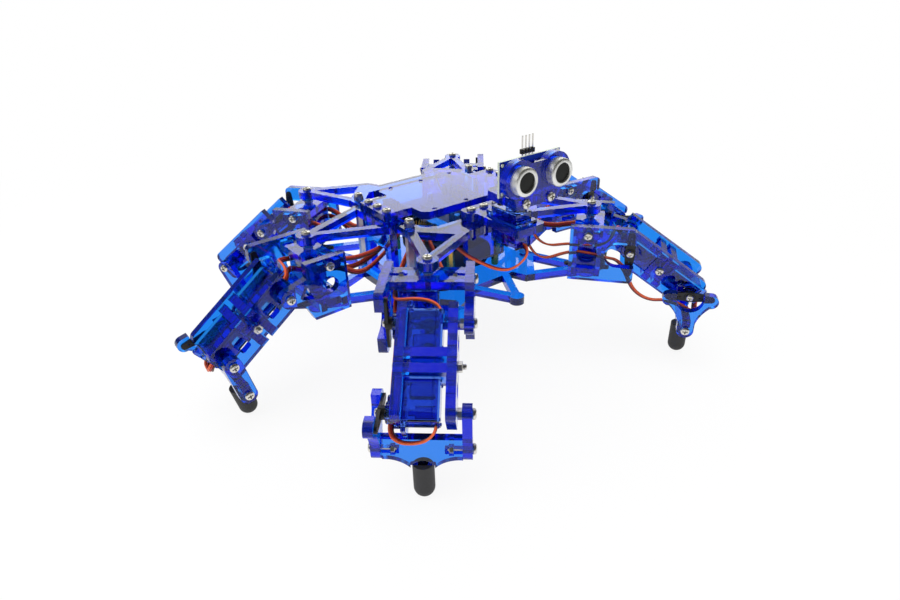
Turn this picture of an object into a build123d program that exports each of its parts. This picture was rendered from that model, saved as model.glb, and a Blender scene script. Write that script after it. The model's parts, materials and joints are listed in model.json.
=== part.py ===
from build123d import *
import os
from math import asin, cos, degrees, radians, sin, tan

os.makedirs("parts", exist_ok=True)

# A six-legged walking robot cut from acrylic sheet. Millimetres, +X forward, +Y to its left, +Z up.
# The robot stands on the ground at z = 0. Each piece is made about the middle of the body, and the whole
# is moved at the end, so that the origin is at the middle of the space that the standing robot fills.

# Sheet, fits and fasteners
SHEET = 5.0
FIT = 0.1
SCREW_R = 1.5
HEAD_R = 2.8
HEAD_T = 2.0
NUT_R = 3.0
NUT_T = 2.4
TEE_DEPTH = 9.0
TEE_NUT_IN = 4.5
DECK_TOP = 104.0

# Micro servo: the case hangs below its ears, and the output shaft stands above them
CASE_L = 22.8
CASE_W = 12.2
CASE_UNDER = 18.4
CASE_OVER = 4.1
SHAFT_IN = 5.9
EAR_L = 32.2
EAR_T = 2.5
BOSS_R = 5.6
BOSS_H = 4.0
SHAFT_R = 2.4
SHAFT_H = 3.2
SHAFT_SUNK = 3.0
HORN_R = 3.5
HORN_H = 4.0
HORN_GAP = 0.2
ARM_T = 1.6
ARM_REACH = 15.0
ARM_END_R = 2.0
ARM_HOLE_STEP = 2.4
ARM_HOLE_R = 0.5
HORN_SCREW_R = 0.9
HORN_HEAD_R = 2.3
HORN_HEAD_T = 1.6
HORN_LOW = CASE_OVER + BOSS_H + HORN_GAP

# Leg lengths, between axes, and the places of its plates across the leg
COXA = 26.6
KNEE_DROP = 24.5
RIB_ROOM = 14.2
THIGH = 2 * (CASE_L - SHAFT_IN) + RIB_ROOM
SHIN = 52.5
CLAMP_Y = 20.5
DRIVE_Y = 13.5
IDLE_Y = 12.8

# Coxa plates
COXA_BACK = 11.0
COXA_TOP = 6.5
COXA_LOW = 43.0
COXA_FRONT = 29.5
COXA_JAW_R = 7.9
ROOF_Z = 9.4
BASE_Z = 34.5
CROSS_HALF = 9.0
TAB_W = 3.5
TAB_X = 5.2
PORT_R = 6.5
CORNER_R = 3.5

# Thigh plates
THIGH_HALF = 11.5
THIGH_BACK = 7.0
THIGH_FRONT = 6.0
RIB_OFF = 4.2
TAB_IN = 6.9
TAB_OUT = 10.1

# Foot plates
FOOT_SCREW = 21.8
FOOT_END_R = 5.2
FOOT_ARM = 12.5
FOOT_ARM_R = 4.4
FOOT_CUT_R = 8.2
SPREADER_NEAR = 14.5
SPREADER_FAR = 27.4
PEG_END = 43.0
PEG_HALF = 2.6
CAP_R = 5.7
CAP_LEN = 21.5

# Body plates
HIP_X = 75.0
HIP_Y = 65.0
MID_HIP_Y = 101.0
HUB_R = 6.2
ARM_W = 5.2
SPACER_T = 1.9
BELLY_Z = 44.5
LID_X = 29.0
LID_Y = 35.0
LID_TAB_X = 15.0
LID_TAB_Y = 55.5
SPARE_X = 26.0
SPARE_Y = 25.0
SIDE_ROW_Y = 51.0
FRONT_ROW_X = 44.0
ROW_STEP = 11.0
POST_X = 31.0
POST_Y = 47.5
POST_R = 2.75
POST_SPACER = 3.5
POST_BITE = 5.0
STAR_RIM = [(36, 52), (60, 31), (60, 24), (50, 20)]
STAR_HALF_X = 24.0
STAR_HALF_Y = 57.0
DECK_HOLE = [(41, 34), (29, 44)]
BELLY_HOLE_X = 30.0
BELLY_HOLE_Y = 40.0
SIDE_WALL_HALF = 17.0
FRONT_WALL_HALF = 15.0
FRONT_WALL_LOW = 30.0
FRONT_ROW_STEP = 10.0
HIP_RING_R = 4.5

# Controller board on its feet, and the battery pack under it
CONTROL_X = 36.0
CONTROL_Y = 30.0
CONTROL_Z = -17.0
CONTROL_T = 1.6
PIN_ROW_X = 34.0
PIN_ROW_Y = 25.5
PIN_ROW_HALF = 3.8
PIN_ROW_H = 8.0
CONTROL_FOOT_X = 33.0
CONTROL_FOOT_Y = 19.0
CONTROL_FOOT_R = 2.5
PACK_HALF = 29.5
PACK_H = 19.0
CELL_R = 8.9

# Head
PAN_X = 75.0
EYE_Y = 13.2
EYE_R = 8.0
EYE_LEN = 12.4
EYE_RIM = 2.5
EYE_FRONT = 96.8
EYE_Z = 36.3
BOARD_W = 45.0
BOARD_H = 20.0
BOARD_T = 1.6
HOLDER_FRONT = 91.4
HOLDER_LOBE_R = 10.9
HOLDER_TOP = 8.0
HEAD_HALF = 15.5
HEAD_BACK = 63.0
HEAD_TAB_Y = 13.6
HEAD_TAB_HALF = 1.6
HEAD_SCREW_Y = 9.4
PITCH = 2.54
PIN_HALF = 0.32

# Servo leads: each is a limp flat cord, drawn as one round tube
LEAD_R = 1.2
PLUG_Y = 29.3
PLUG_Z = -11.0

# Each leg: hip place, the way it points from +X towards +Y, and the slope of its shin below level
LEGS = {
    "front_right": (HIP_X, -HIP_Y, -40.0, 88.5),
    "mid_right": (0.0, -MID_HIP_Y, -87.6, 102.3),
    "rear_right": (-HIP_X, -HIP_Y, -141.0, 114.0),
    "front_left": (HIP_X, HIP_Y, 39.2, 90.0),
    "mid_left": (0.0, MID_HIP_Y, 84.0, 95.0),
    "rear_left": (-HIP_X, HIP_Y, 141.0, 95.0),
}


# Small helpers: a profile drawn in X and Z becomes a sheet standing across Y, and so on
def upright(profile, y_low, thick=SHEET):
    return Pos(0, y_low + thick, 0) * extrude(Plane.XZ * profile, amount=thick, dir=(0, -1, 0))


def level(profile, z_low, thick=SHEET):
    return Pos(0, 0, z_low) * extrude(profile, amount=thick, dir=(0, 0, 1))


def facing(profile, x_low, thick=SHEET):
    return Pos(x_low, 0, 0) * extrude(Plane.YZ * profile, amount=thick, dir=(1, 0, 0))


def slab(x0, x1, y0, y1):
    return Pos((x0 + x1) / 2, (y0 + y1) / 2) * Rectangle(x1 - x0, y1 - y0)


def block(x0, x1, y0, y1, z0, z1):
    return Pos((x0 + x1) / 2, (y0 + y1) / 2, (z0 + z1) / 2) * Box(x1 - x0, y1 - y0, z1 - z0)


def outline(*points):
    return make_face(Polyline(*points, close=True))


def dot(x, y, r):
    return Pos(x, y) * Circle(r)


def bar(x0, y0, x1, y1, width):
    return make_hull(dot(x0, y0, width / 2).edges() + dot(x1, y1, width / 2).edges())


def rounded(x0, x1, y0, y1, r):
    return Pos((x0 + x1) / 2, (y0 + y1) / 2) * RectangleRounded(x1 - x0, y1 - y0, r)


def rod(r, z0, z1):
    return Pos(0, 0, (z0 + z1) / 2) * Cylinder(r, z1 - z0)


# Fasteners: the underside of the head is at the origin and the shank runs down to -length
def pan_screw(length, shank_r=SCREW_R, head_r=HEAD_R, head_t=HEAD_T):
    head = rod(head_r, 0, head_t)
    head = chamfer(head.edges().group_by(Axis.Z)[-1], head_t * 0.35)
    return head + rod(shank_r, -length, 0)


def hex_nut():
    return extrude(RegularPolygon(NUT_R, 6, rotation=30) - Circle(SCREW_R + FIT / 2), amount=NUT_T)


def turned_to(shape, axis):
    turns = {"+Y": Rot(-90, 0, 0), "-Y": Rot(90, 0, 0), "+X": Rot(0, 90, 0)}
    return turns[axis] * shape


# Servo, with its ears' mounting face at z = 0, its shaft on the Z axis and its case towards +X
def servo_case():
    centre = CASE_L / 2 - SHAFT_IN
    case = Pos(centre, 0, (CASE_OVER - CASE_UNDER) / 2) * Box(CASE_L, CASE_W, CASE_OVER + CASE_UNDER)
    case = fillet(case.edges().filter_by(Axis.Z), 0.8)
    ears = Pos(centre, 0, -EAR_T / 2) * Box(EAR_L, CASE_W - 0.4, EAR_T)
    gear_bump = Pos(BOSS_R + 0.6, 0) * rod(BOSS_R / 2, CASE_OVER, CASE_OVER + BOSS_H)
    boss = rod(BOSS_R, CASE_OVER, CASE_OVER + BOSS_H) + gear_bump
    body = case + ears + boss
    for x in (centre - EAR_L / 2 + 2.3, centre + EAR_L / 2 - 2.3):
        body -= Pos(x, 0, 0) * rod(1.0, -EAR_T, 0)
    return body - rod(SHAFT_R + FIT, CASE_OVER + BOSS_H - SHAFT_SUNK - FIT, CASE_OVER + BOSS_H)


# The shaft, horn and horn screw that stand on a servo, in the servo's own frame; arms_at is the height of
# the arms' outer face, which lies on the sheet that the horn turns
def servo_output(arm_turn, arms_at):
    top = CASE_OVER + BOSS_H
    shaft = rod(SHAFT_R, top - SHAFT_SUNK, top + SHAFT_H)
    low = HORN_LOW
    arms = Circle(HORN_R)
    for side in range(2):
        arms += Rot(0, 0, 180 * side) * bar(0, 0, ARM_REACH - ARM_END_R, 0, 2 * ARM_END_R)
    for step in range(1, 4):
        arms -= dot(HORN_R + ARM_HOLE_STEP * step, 0, ARM_HOLE_R)
    horn = rod(HORN_R, low, low + HORN_H) + level(arms, arms_at - ARM_T, ARM_T)
    horn -= rod(SHAFT_R, low, top + SHAFT_H)
    horn -= rod(HORN_SCREW_R + FIT / 2, low, low + HORN_H)
    shaft -= rod(HORN_SCREW_R + FIT / 2, top - 1.0, top + SHAFT_H)
    screw = pan_screw(HORN_H + 0.5, HORN_SCREW_R, HORN_HEAD_R, HORN_HEAD_T)
    screw = Pos(0, 0, low + HORN_H) * screw
    return [Rot(0, 0, arm_turn) * piece for piece in (shaft, horn, screw)]


# A tee slot that takes a screw from the sheet's end at x = 0, running towards -X
def tee_slot():
    stem = slab(-TEE_DEPTH, 0.5, -SCREW_R - FIT, SCREW_R + FIT)
    half = NUT_R * cos(radians(30)) + FIT
    pocket = slab(-TEE_NUT_IN - NUT_T - FIT, -TEE_NUT_IN, -half, half)
    return stem + pocket


def tee_screw():
    return pan_screw(SHEET + TEE_DEPTH - 1.0)


# A screw through a clamp plate's outer face and the nut in its tee slot, on the -Y side of a piece
def tee_joint(x, z):
    outer = CLAMP_Y + SHEET
    screw = Pos(x, -outer, z) * turned_to(tee_screw(), "-Y")
    nut = Pos(x, -CLAMP_Y + TEE_NUT_IN, z) * turned_to(hex_nut(), "+Y")
    return [screw, nut, mirrored_y(screw), mirrored_y(nut)]


def mirrored_y(shape):
    return mirror(shape, about=Plane.XZ)


# ---- Coxa, in the hip frame: hip axis on Z, deck top at z = 0, +X outward, clamps across Y
def tab_slots(xs, z_top):
    slots = Sketch()
    for x in xs:
        slots += slab(x - TAB_W / 2 - FIT, x + TAB_W / 2 + FIT, -z_top - SHEET - FIT, -z_top + FIT)
    return slots


def coxa_drive_profile():
    plate = slab(-COXA_BACK, COXA_FRONT, -COXA_LOW, -COXA_TOP)
    plate = fillet(plate.vertices().group_by(Axis.X)[-1], CORNER_R)
    jaw = slab(COXA - COXA_JAW_R, COXA_FRONT + 1, -KNEE_DROP - COXA_JAW_R, -KNEE_DROP + COXA_JAW_R)
    jaw += dot(COXA - COXA_JAW_R, -KNEE_DROP, COXA_JAW_R)
    plate -= jaw
    plate -= dot(0, -KNEE_DROP + 0.5, PORT_R)
    ear_z = BASE_Z - EAR_T
    plate -= slab(-CASE_W / 2, CASE_W / 2, -BASE_Z - FIT, -ear_z + FIT)
    return plate


def coxa_idle_profile():
    shoulder = 15.0
    web = outline((-COXA_BACK, -COXA_TOP), (-COXA_BACK, -COXA_LOW), (13.0, -COXA_LOW),
                  (shoulder + 2.5, -KNEE_DROP - 9), (COXA, -KNEE_DROP - FOOT_END_R - 0.6),
                  (COXA, -KNEE_DROP + FOOT_END_R + 0.6), (shoulder, -COXA_TOP - 9), (shoulder, -COXA_TOP))
    plate = web + dot(COXA, -KNEE_DROP, FOOT_END_R + 0.6)
    plate -= dot(0, -KNEE_DROP + 0.5, 4.5)
    window = outline((12.0, -KNEE_DROP - 4.5), (19.5, -KNEE_DROP - 3.0), (15.5, -KNEE_DROP + 4.0))
    plate -= window
    return plate - dot(COXA, -KNEE_DROP, SCREW_R + FIT)


def coxa_side(profile, y_low):
    roof_mid = -ROOF_Z - SHEET / 2
    profile = profile - tab_slots((-TAB_X, TAB_X), ROOF_Z) - tab_slots((-TAB_X - 1.8, TAB_X + 1.8), BASE_Z)
    profile -= dot(0, roof_mid, SCREW_R + FIT)
    return upright(profile, y_low)


def cross_plate(tab_xs, z_top, window=None, slots=True):
    sheet = slab(-CROSS_HALF, CROSS_HALF, -CLAMP_Y, CLAMP_Y)
    outer = CLAMP_Y + SHEET
    for x in tab_xs:
        sheet += slab(x - TAB_W / 2, x + TAB_W / 2, -outer, outer)
    if slots:
        sheet -= Pos(0, CLAMP_Y) * Rot(0, 0, 90) * tee_slot()
        sheet -= Pos(0, -CLAMP_Y) * Rot(0, 0, -90) * tee_slot()
    if window:
        sheet -= window
    return level(sheet, -z_top - SHEET)


def coxa_frame():
    servo_window = slab(-CASE_W / 2 - FIT, CASE_W / 2 + FIT, SHAFT_IN - CASE_L - FIT, SHAFT_IN + FIT)
    roof = cross_plate((-TAB_X, TAB_X), ROOF_Z, dot(0, 0, SCREW_R + FIT))
    base = cross_plate((-TAB_X - 1.8, TAB_X + 1.8), BASE_Z, servo_window, slots=False)
    drive = coxa_side(coxa_drive_profile(), -CLAMP_Y - SHEET)
    idle = coxa_side(coxa_idle_profile(), CLAMP_Y)
    return [drive, idle, roof, base]


def hip_servo():
    return Pos(0, 0, -BASE_Z) * Rot(180, 0, 0) * Rot(0, 0, 90) * servo_case()


# The pieces that turn a joint: the drive horn on one side and the idle bolt on the other
def joint_hardware(arm_turn):
    ears_y = -DRIVE_Y + SHEET
    output = servo_output(arm_turn, CLAMP_Y + ears_y)
    drive = [Pos(0, ears_y, 0) * Rot(90, 0, 0) * piece for piece in output]
    outer = CLAMP_Y + SHEET
    bolt = turned_to(pan_screw(outer - IDLE_Y - 0.3), "+Y").moved(Location((0, outer, 0)))
    nut = turned_to(hex_nut(), "-Y").moved(Location((0, CLAMP_Y, 0)))
    return drive + [bolt, nut]


def knee_hardware():
    roof_mid = -ROOF_Z - SHEET / 2
    joint = [Pos(COXA, 0, -KNEE_DROP) * piece for piece in joint_hardware(90)]
    return joint + tee_joint(0, roof_mid)


# ---- Thigh, in the knee frame: knee axis on Y, +X along the thigh, +Z its upper side
def thigh_servos():
    ears_y = -DRIVE_Y + SHEET
    case = Pos(0, ears_y, 0) * Rot(90, 0, 0) * servo_case()
    return [case, Pos(THIGH, 0, 0) * Rot(0, 180, 0) * case]


def rib_slots(x):
    half = SHEET / 2 + FIT
    upper = slab(x - half, x + half, TAB_IN - FIT, TAB_OUT + FIT)
    return upper + slab(x - half, x + half, -TAB_OUT - FIT, -TAB_IN + FIT)


def thigh_profile():
    plate = slab(-THIGH_BACK, THIGH + THIGH_FRONT, -THIGH_HALF, THIGH_HALF)
    corners = plate.vertices()
    knee_low = corners.filter_by(lambda v: v.X < 0 and v.Y < 0)
    plate = chamfer(knee_low, THIGH_BACK + 4.0, THIGH_HALF - 3.0)
    ankle_end = plate.vertices().filter_by(lambda v: v.X > THIGH)
    plate = fillet(ankle_end, CORNER_R + 1)
    for side in (-RIB_OFF, RIB_OFF):
        plate -= rib_slots(THIGH / 2 + side)
    return plate - dot(THIGH / 2, 0, SCREW_R + FIT)


def thigh_drive_plate():
    plate = thigh_profile()
    for turn in (0, 180):
        window = slab(-SHAFT_IN - FIT, CASE_L - SHAFT_IN + FIT, -CASE_W / 2 - FIT, CASE_W / 2 + FIT)
        at = Pos(0, 0) if turn == 0 else Pos(THIGH, 0) * Rot(0, 0, 180)
        plate -= at * window
    return upright(plate, -DRIVE_Y)


def thigh_idle_plate():
    plate = thigh_profile() - dot(0, 0, SCREW_R + FIT) - dot(THIGH, 0, SCREW_R + FIT)
    for x in (11.5, THIGH - 11.5):
        plate -= rounded(x - 3.5, x + 3.5, -4.5, 4.5, 1.5)
    notch = slab(THIGH / 2 - 1.2, THIGH / 2 + 1.2, -THIGH_HALF - 1, -THIGH_HALF + 3.2)
    return upright(plate - notch, IDLE_Y)


def thigh_rib(x):
    inner = -DRIVE_Y + SHEET
    rib = slab(inner, IDLE_Y, -TAB_OUT, TAB_OUT)
    for side in (-1, 1):
        z_low, z_high = sorted((side * TAB_IN, side * TAB_OUT))
        rib += slab(-DRIVE_Y, IDLE_Y + SHEET, z_low, z_high)
    ear_room = CASE_W / 2 + 2 * FIT
    rib -= slab(inner - 0.01, inner + EAR_T + FIT, -ear_room, ear_room)
    return facing(rib, x - SHEET / 2)


def thigh_frame():
    ribs = [thigh_rib(THIGH / 2 + side) for side in (-RIB_OFF, RIB_OFF)]
    idle_out = IDLE_Y + SHEET
    bolt = Pos(THIGH / 2, -DRIVE_Y, 0) * turned_to(pan_screw(DRIVE_Y + idle_out + 4.5), "-Y")
    nut = Pos(THIGH / 2, idle_out, 0) * turned_to(hex_nut(), "+Y")
    return [thigh_drive_plate(), thigh_idle_plate()] + ribs + [bolt, nut]


# ---- Foot, in the ankle frame: ankle axis on Y, +X down the shin
def foot_drive_profile():
    fork = bar(0, -FOOT_ARM, 0, FOOT_ARM, 2 * FOOT_ARM_R)
    stem = bar(6, 0, FOOT_SCREW + 0.2, 0, 2 * FOOT_END_R)
    shoulder = FOOT_ARM + 2.0
    waist = FOOT_END_R - 0.5
    upper = ThreePointArc((2.5, shoulder), (10.0, 7.8), (19.0, waist))
    low_end = Line((19.0, waist), (19.0, -waist))
    lower = ThreePointArc((19.0, -waist), (10.0, -7.8), (2.5, -shoulder))
    top_end = Line((2.5, -shoulder), (2.5, shoulder))
    plate = fork + stem + make_face([upper, low_end, lower, top_end])
    return plate - bar(-2 * FOOT_CUT_R, 0, 0, 0, 2 * FOOT_CUT_R)


def foot_idle_profile():
    plate = bar(0, 0, FOOT_SCREW + 0.2, 0, 2 * FOOT_END_R)
    return plate - dot(0, 0, SCREW_R + FIT / 2)


# One tab on each side of the spreader, short of its screw
def foot_tab():
    return SPREADER_NEAR + 0.5, FOOT_SCREW - SCREW_R - 1.0


def foot_side(profile, y_low):
    near, far = foot_tab()
    profile -= slab(near - FIT, far + FIT, -SHEET / 2 - FIT, SHEET / 2 + FIT)
    return upright(profile - dot(FOOT_SCREW, 0, SCREW_R + FIT), y_low)


def foot_spreader():
    shoulder = SPREADER_FAR + 6.0
    right = ThreePointArc((SPREADER_FAR, -CLAMP_Y), (SPREADER_FAR + 1.2, -12.5), (shoulder, -CAP_R))
    left = ThreePointArc((shoulder, CAP_R), (SPREADER_FAR + 1.2, 12.5), (SPREADER_FAR, CLAMP_Y))
    across = Line((shoulder, -CAP_R), (shoulder, CAP_R))
    back = Polyline((SPREADER_FAR, CLAMP_Y), (SPREADER_NEAR, CLAMP_Y), (SPREADER_NEAR, -CLAMP_Y),
                    (SPREADER_FAR, -CLAMP_Y))
    sheet = make_face([right, across, left, back])
    sheet += slab(shoulder - 1, PEG_END, -PEG_HALF, PEG_HALF)
    outer = CLAMP_Y + SHEET
    sheet += slab(*foot_tab(), -outer, outer)
    for turn in (90, -90):
        side = CLAMP_Y if turn > 0 else -CLAMP_Y
        sheet -= Pos(FOOT_SCREW, side) * Rot(0, 0, turn) * tee_slot()
    return level(sheet, -SHEET / 2)


def foot_cap_rest():
    return SHIN - CAP_LEN


def foot_frame():
    spreader = foot_spreader()
    cap_start = foot_cap_rest()
    pieces = [foot_side(foot_drive_profile(), -CLAMP_Y - SHEET), foot_side(foot_idle_profile(), CLAMP_Y)]
    return pieces + [spreader - cap_socket(cap_start)]


# The cap is a blind rubber sleeve over the peg: its rim bears on the spreader's shoulder
def cap_socket(cap_start):
    sleeve = turned_to(rod(CAP_R + 1, cap_start, cap_start + 6), "+X")
    return sleeve - block(0, SHIN, -PEG_HALF, PEG_HALF, -SHEET / 2, SHEET / 2)


def foot_cap():
    start = foot_cap_rest()
    body = rod(CAP_R, start, SHIN - CAP_R) + Pos(0, 0, SHIN - CAP_R) * Sphere(CAP_R)
    body = turned_to(body, "+X")
    peg = block(start - 1, PEG_END + FIT, -PEG_HALF, PEG_HALF, -SHEET / 2, SHEET / 2)
    return [body - peg]


def ankle_hardware():
    return joint_hardware(90) + tee_joint(FOOT_SCREW, 0)


# ---- Body, with the deck's top face at z = 0 before it is lifted
def corners():
    return [(x, y) for x in (1, -1) for y in (1, -1)]


def star(opening):
    ring = STAR_RIM + [(x, -y) for x, y in reversed(STAR_RIM)]
    ring += [(-x, -y) for x, y in STAR_RIM] + [(-x, y) for x, y in reversed(STAR_RIM)]
    plate = outline(*reversed(ring)) + slab(-STAR_HALF_X, STAR_HALF_X, -STAR_HALF_Y, STAR_HALF_Y)
    for sx, sy in corners():
        plate += bar(sx * 34.5, sy * 49.0, sx * HIP_X, sy * HIP_Y, ARM_W)
        plate += bar(sx * 58.0, sy * 27.0, sx * HIP_X, sy * HIP_Y, ARM_W)
        plate += bar(sx * 20.5, sy * 55.0, 0, sy * MID_HIP_Y, ARM_W)
    for x, y in hip_points():
        plate += dot(x, y, HUB_R)
    return plate - opening


def deck_opening():
    (x_wide, y_short), (x_short, y_wide) = DECK_HOLE
    return outline((x_wide, -y_short), (x_wide, y_short), (x_short, y_wide), (-x_short, y_wide),
                   (-x_wide, y_short), (-x_wide, -y_short), (-x_short, -y_wide), (x_short, -y_wide))


def hip_points():
    return [(x, y) for x, y, yaw, shin in LEGS.values()]


def row_points():
    side = [(x, y) for y in (-SIDE_ROW_Y, SIDE_ROW_Y) for x in (-ROW_STEP, 0, ROW_STEP)]
    return side, [(FRONT_ROW_X, y) for y in (-FRONT_ROW_STEP, 0, FRONT_ROW_STEP)]


def post_points():
    return [(x, y) for x in (-POST_X, POST_X) for y in (-POST_Y, POST_Y)]


def drilled(profile, points, r=SCREW_R + FIT):
    for x, y in points:
        profile -= dot(x, y, r)
    return profile


def top_plate():
    side, front = row_points()
    profile = drilled(star(deck_opening()), hip_points() + side + front + post_points())
    return [level(profile, -SHEET)]


def lid_profile():
    lid = slab(-LID_X, LID_X, -LID_Y, LID_Y)
    lid = chamfer(lid.vertices(), 4)
    tabs = slab(-LID_TAB_X, LID_TAB_X, -LID_TAB_Y, LID_TAB_Y)
    return lid + tabs


def lid_plate():
    side = row_points()[0]
    spare = [(x, y) for x in (-SPARE_X, SPARE_X) for y in (-SPARE_Y, 0, SPARE_Y)]
    return [level(drilled(lid_profile(), side + spare), 0)]


def pan_window():
    return slab(PAN_X + SHAFT_IN - CASE_L - FIT, PAN_X + SHAFT_IN + FIT, -CASE_W / 2 - FIT, CASE_W / 2 + FIT)


def head_mount():
    sheet = rounded(38, 88, -11, 11, 3) + rounded(38, 50, -15, 15, 3)
    return level(drilled(sheet - pan_window(), row_points()[1]), 0)


def bottom_plate():
    tip_x = HIP_X + 1.5
    opening = Rectangle(BELLY_HOLE_X, BELLY_HOLE_Y)
    profile = star(opening)
    for side in (-1, 1):
        profile += bar(50, side * 14, tip_x, 0, ARM_W)
    profile += dot(tip_x, 0, ARM_W - 0.5)
    profile = drilled(drilled(profile, hip_points(), HORN_R + 0.5), post_points())
    return [level(profile, -BELLY_Z - SHEET)]


# Walls hang between the plates: one under each side row and one under the head mount
def body_walls():
    tall = BELLY_Z - SHEET
    side = slab(-SIDE_WALL_HALF, SIDE_WALL_HALF, -BELLY_Z, -SHEET)
    for x in (-ROW_STEP, 0, ROW_STEP):
        side -= slab(x - SCREW_R - FIT, x + SCREW_R + FIT, -SHEET - TEE_DEPTH, -SHEET + 1)
    side -= rounded(-10, 10, -SHEET - tall + 6, -SHEET - 15, 3)
    walls = [upright(side, y - SHEET / 2) for y in (-SIDE_ROW_Y, SIDE_ROW_Y)]
    front = slab(-FRONT_WALL_HALF, FRONT_WALL_HALF, -FRONT_WALL_LOW, -SHEET)
    for y in (-FRONT_ROW_STEP, 0, FRONT_ROW_STEP):
        front -= slab(y - SCREW_R - FIT, y + SCREW_R + FIT, -SHEET - TEE_DEPTH, -SHEET + 1)
    return walls + [facing(front, FRONT_ROW_X - SHEET / 2), head_mount()]


def body_fasteners():
    side, front = row_points()
    long_screw = pan_screw(2 * SHEET + TEE_DEPTH - 1.0)
    pieces = [Pos(x, y, SHEET) * long_screw for x, y in side + front]
    for x, y in post_points():
        spacer = Pos(x, y, 0) * (rod(POST_R, 0, POST_SPACER) - rod(SCREW_R + FIT, 0, POST_SPACER))
        screw = Pos(x, y, POST_SPACER) * pan_screw(POST_SPACER + SHEET + POST_BITE)
        post = extrude(RegularPolygon(POST_R + 0.4, 6), amount=BELLY_Z - SHEET)
        bore = POST_BITE + 1.0
        post = Pos(x, y, -BELLY_Z) * post - Pos(x, y, 0) * rod(SCREW_R + FIT / 2, -SHEET - bore, 0)
        post -= Pos(x, y, 0) * rod(SCREW_R + FIT / 2, -BELLY_Z, -BELLY_Z + bore)
        low = Pos(x, y, -BELLY_Z - SHEET) * Rot(180, 0, 0) * pan_screw(SHEET + POST_BITE)
        pieces += [spacer, screw, post, low]
    return pieces


# The bolts, spacers and horns that carry the legs: all fixed to the plates
def hip_pivots():
    pieces = []
    for x, y, yaw, shin in LEGS.values():
        at = Pos(x, y, 0) * Rot(0, 0, yaw)
        bolt = pan_screw(ROOF_Z + SHEET + 0.5)
        spacer = rod(HIP_RING_R, -SHEET - SPACER_T, -SHEET)
        spacer -= rod(SCREW_R + FIT / 2, -SHEET - SPACER_T, -SHEET)
        nut = Pos(0, 0, -SHEET - SPACER_T - NUT_T) * hex_nut()
        output = servo_output(0, BELLY_Z - BASE_Z)
        output = [Pos(0, 0, -BASE_Z) * Rot(180, 0, 0) * piece for piece in output]
        pieces += [at * piece for piece in [bolt, spacer, nut] + output]
    return pieces


def controller_board():
    pcb = level(slab(-CONTROL_X, CONTROL_X, -CONTROL_Y, CONTROL_Y), CONTROL_Z, CONTROL_T)
    top = CONTROL_Z + CONTROL_T
    parts = [block(-20, -6, -7, 7, top, top + 2.0), block(8, 22, -20, -11, top, top + 5.5),
             block(26, 35, -6, 3, top, top + 4.0)]
    rows = [block(-PIN_ROW_X, PIN_ROW_X, y - PIN_ROW_HALF, y + PIN_ROW_HALF, top, top + PIN_ROW_H)
            for y in (-PIN_ROW_Y, PIN_ROW_Y)]
    feet = [Pos(x, y, 0) * rod(CONTROL_FOOT_R, -BELLY_Z, CONTROL_Z)
            for x in (-CONTROL_FOOT_X, CONTROL_FOOT_X) for y in (-CONTROL_FOOT_Y, CONTROL_FOOT_Y)]
    return [pcb] + parts + rows + feet


def battery_pack():
    pack = block(-PACK_HALF, PACK_HALF, -2 * CELL_R, 2 * CELL_R, -BELLY_Z, -BELLY_Z + PACK_H)
    return [fillet(pack.edges().filter_by(Axis.X), 6.0)]


def head_servo():
    return [Pos(PAN_X, 0, SHEET + EAR_T) * Rot(0, 0, 180) * servo_case()]


# ---- Head: everything that the pan servo turns
def horn_top():
    return SHEET + EAR_T + HORN_LOW + HORN_H


def holder_profile():
    lobes = dot(-EYE_Y, EYE_Z, HOLDER_LOBE_R) + dot(EYE_Y, EYE_Z, HOLDER_LOBE_R)
    lobes += slab(-EYE_Y, EYE_Y, EYE_Z - HOLDER_LOBE_R, EYE_Z + HOLDER_TOP)
    neck = outline((-HEAD_HALF, horn_top()), (HEAD_HALF, horn_top()), (18, EYE_Z - 8), (-18, EYE_Z - 8))
    holder = lobes + neck
    for y in (-EYE_Y, EYE_Y):
        holder -= dot(y, EYE_Z, EYE_R + FIT)
    mid = horn_top() + SHEET / 2
    for y in (-HEAD_SCREW_Y, HEAD_SCREW_Y):
        holder -= dot(y, mid, SCREW_R + FIT)
    wide = HEAD_TAB_HALF + FIT
    for y in (-HEAD_TAB_Y, 0, HEAD_TAB_Y):
        holder -= slab(y - wide, y + wide, mid - SHEET / 2 - FIT, mid + SHEET / 2 + FIT)
    return holder


def head_frame():
    back = HOLDER_FRONT - SHEET
    low = horn_top()
    base = slab(HEAD_BACK, back, -HEAD_HALF, HEAD_HALF)
    base = fillet(base.vertices().group_by(Axis.X)[0], 5)
    for y in (-HEAD_TAB_Y, 0, HEAD_TAB_Y):
        base += slab(back - 1, HOLDER_FRONT, y - HEAD_TAB_HALF, y + HEAD_TAB_HALF)
    for y in (-HEAD_SCREW_Y, HEAD_SCREW_Y):
        base -= Pos(back, y) * tee_slot()
    base -= dot(PAN_X, 0, 2.5)
    pieces = [level(base, low), facing(holder_profile(), back)]
    for y in (-HEAD_SCREW_Y, HEAD_SCREW_Y):
        at = Pos(HOLDER_FRONT, y, low + SHEET / 2)
        pieces.append(at * turned_to(tee_screw(), "+X"))
        nut_back = back - TEE_NUT_IN - NUT_T
        nut = Rot(0, 0, 30) * hex_nut()
        pieces.append(Pos(nut_back, y, low + SHEET / 2) * turned_to(nut, "+X"))
    output = servo_output(90, HORN_LOW + HORN_H)
    return pieces + [Pos(PAN_X, 0, SHEET + EAR_T) * piece for piece in output]


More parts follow.
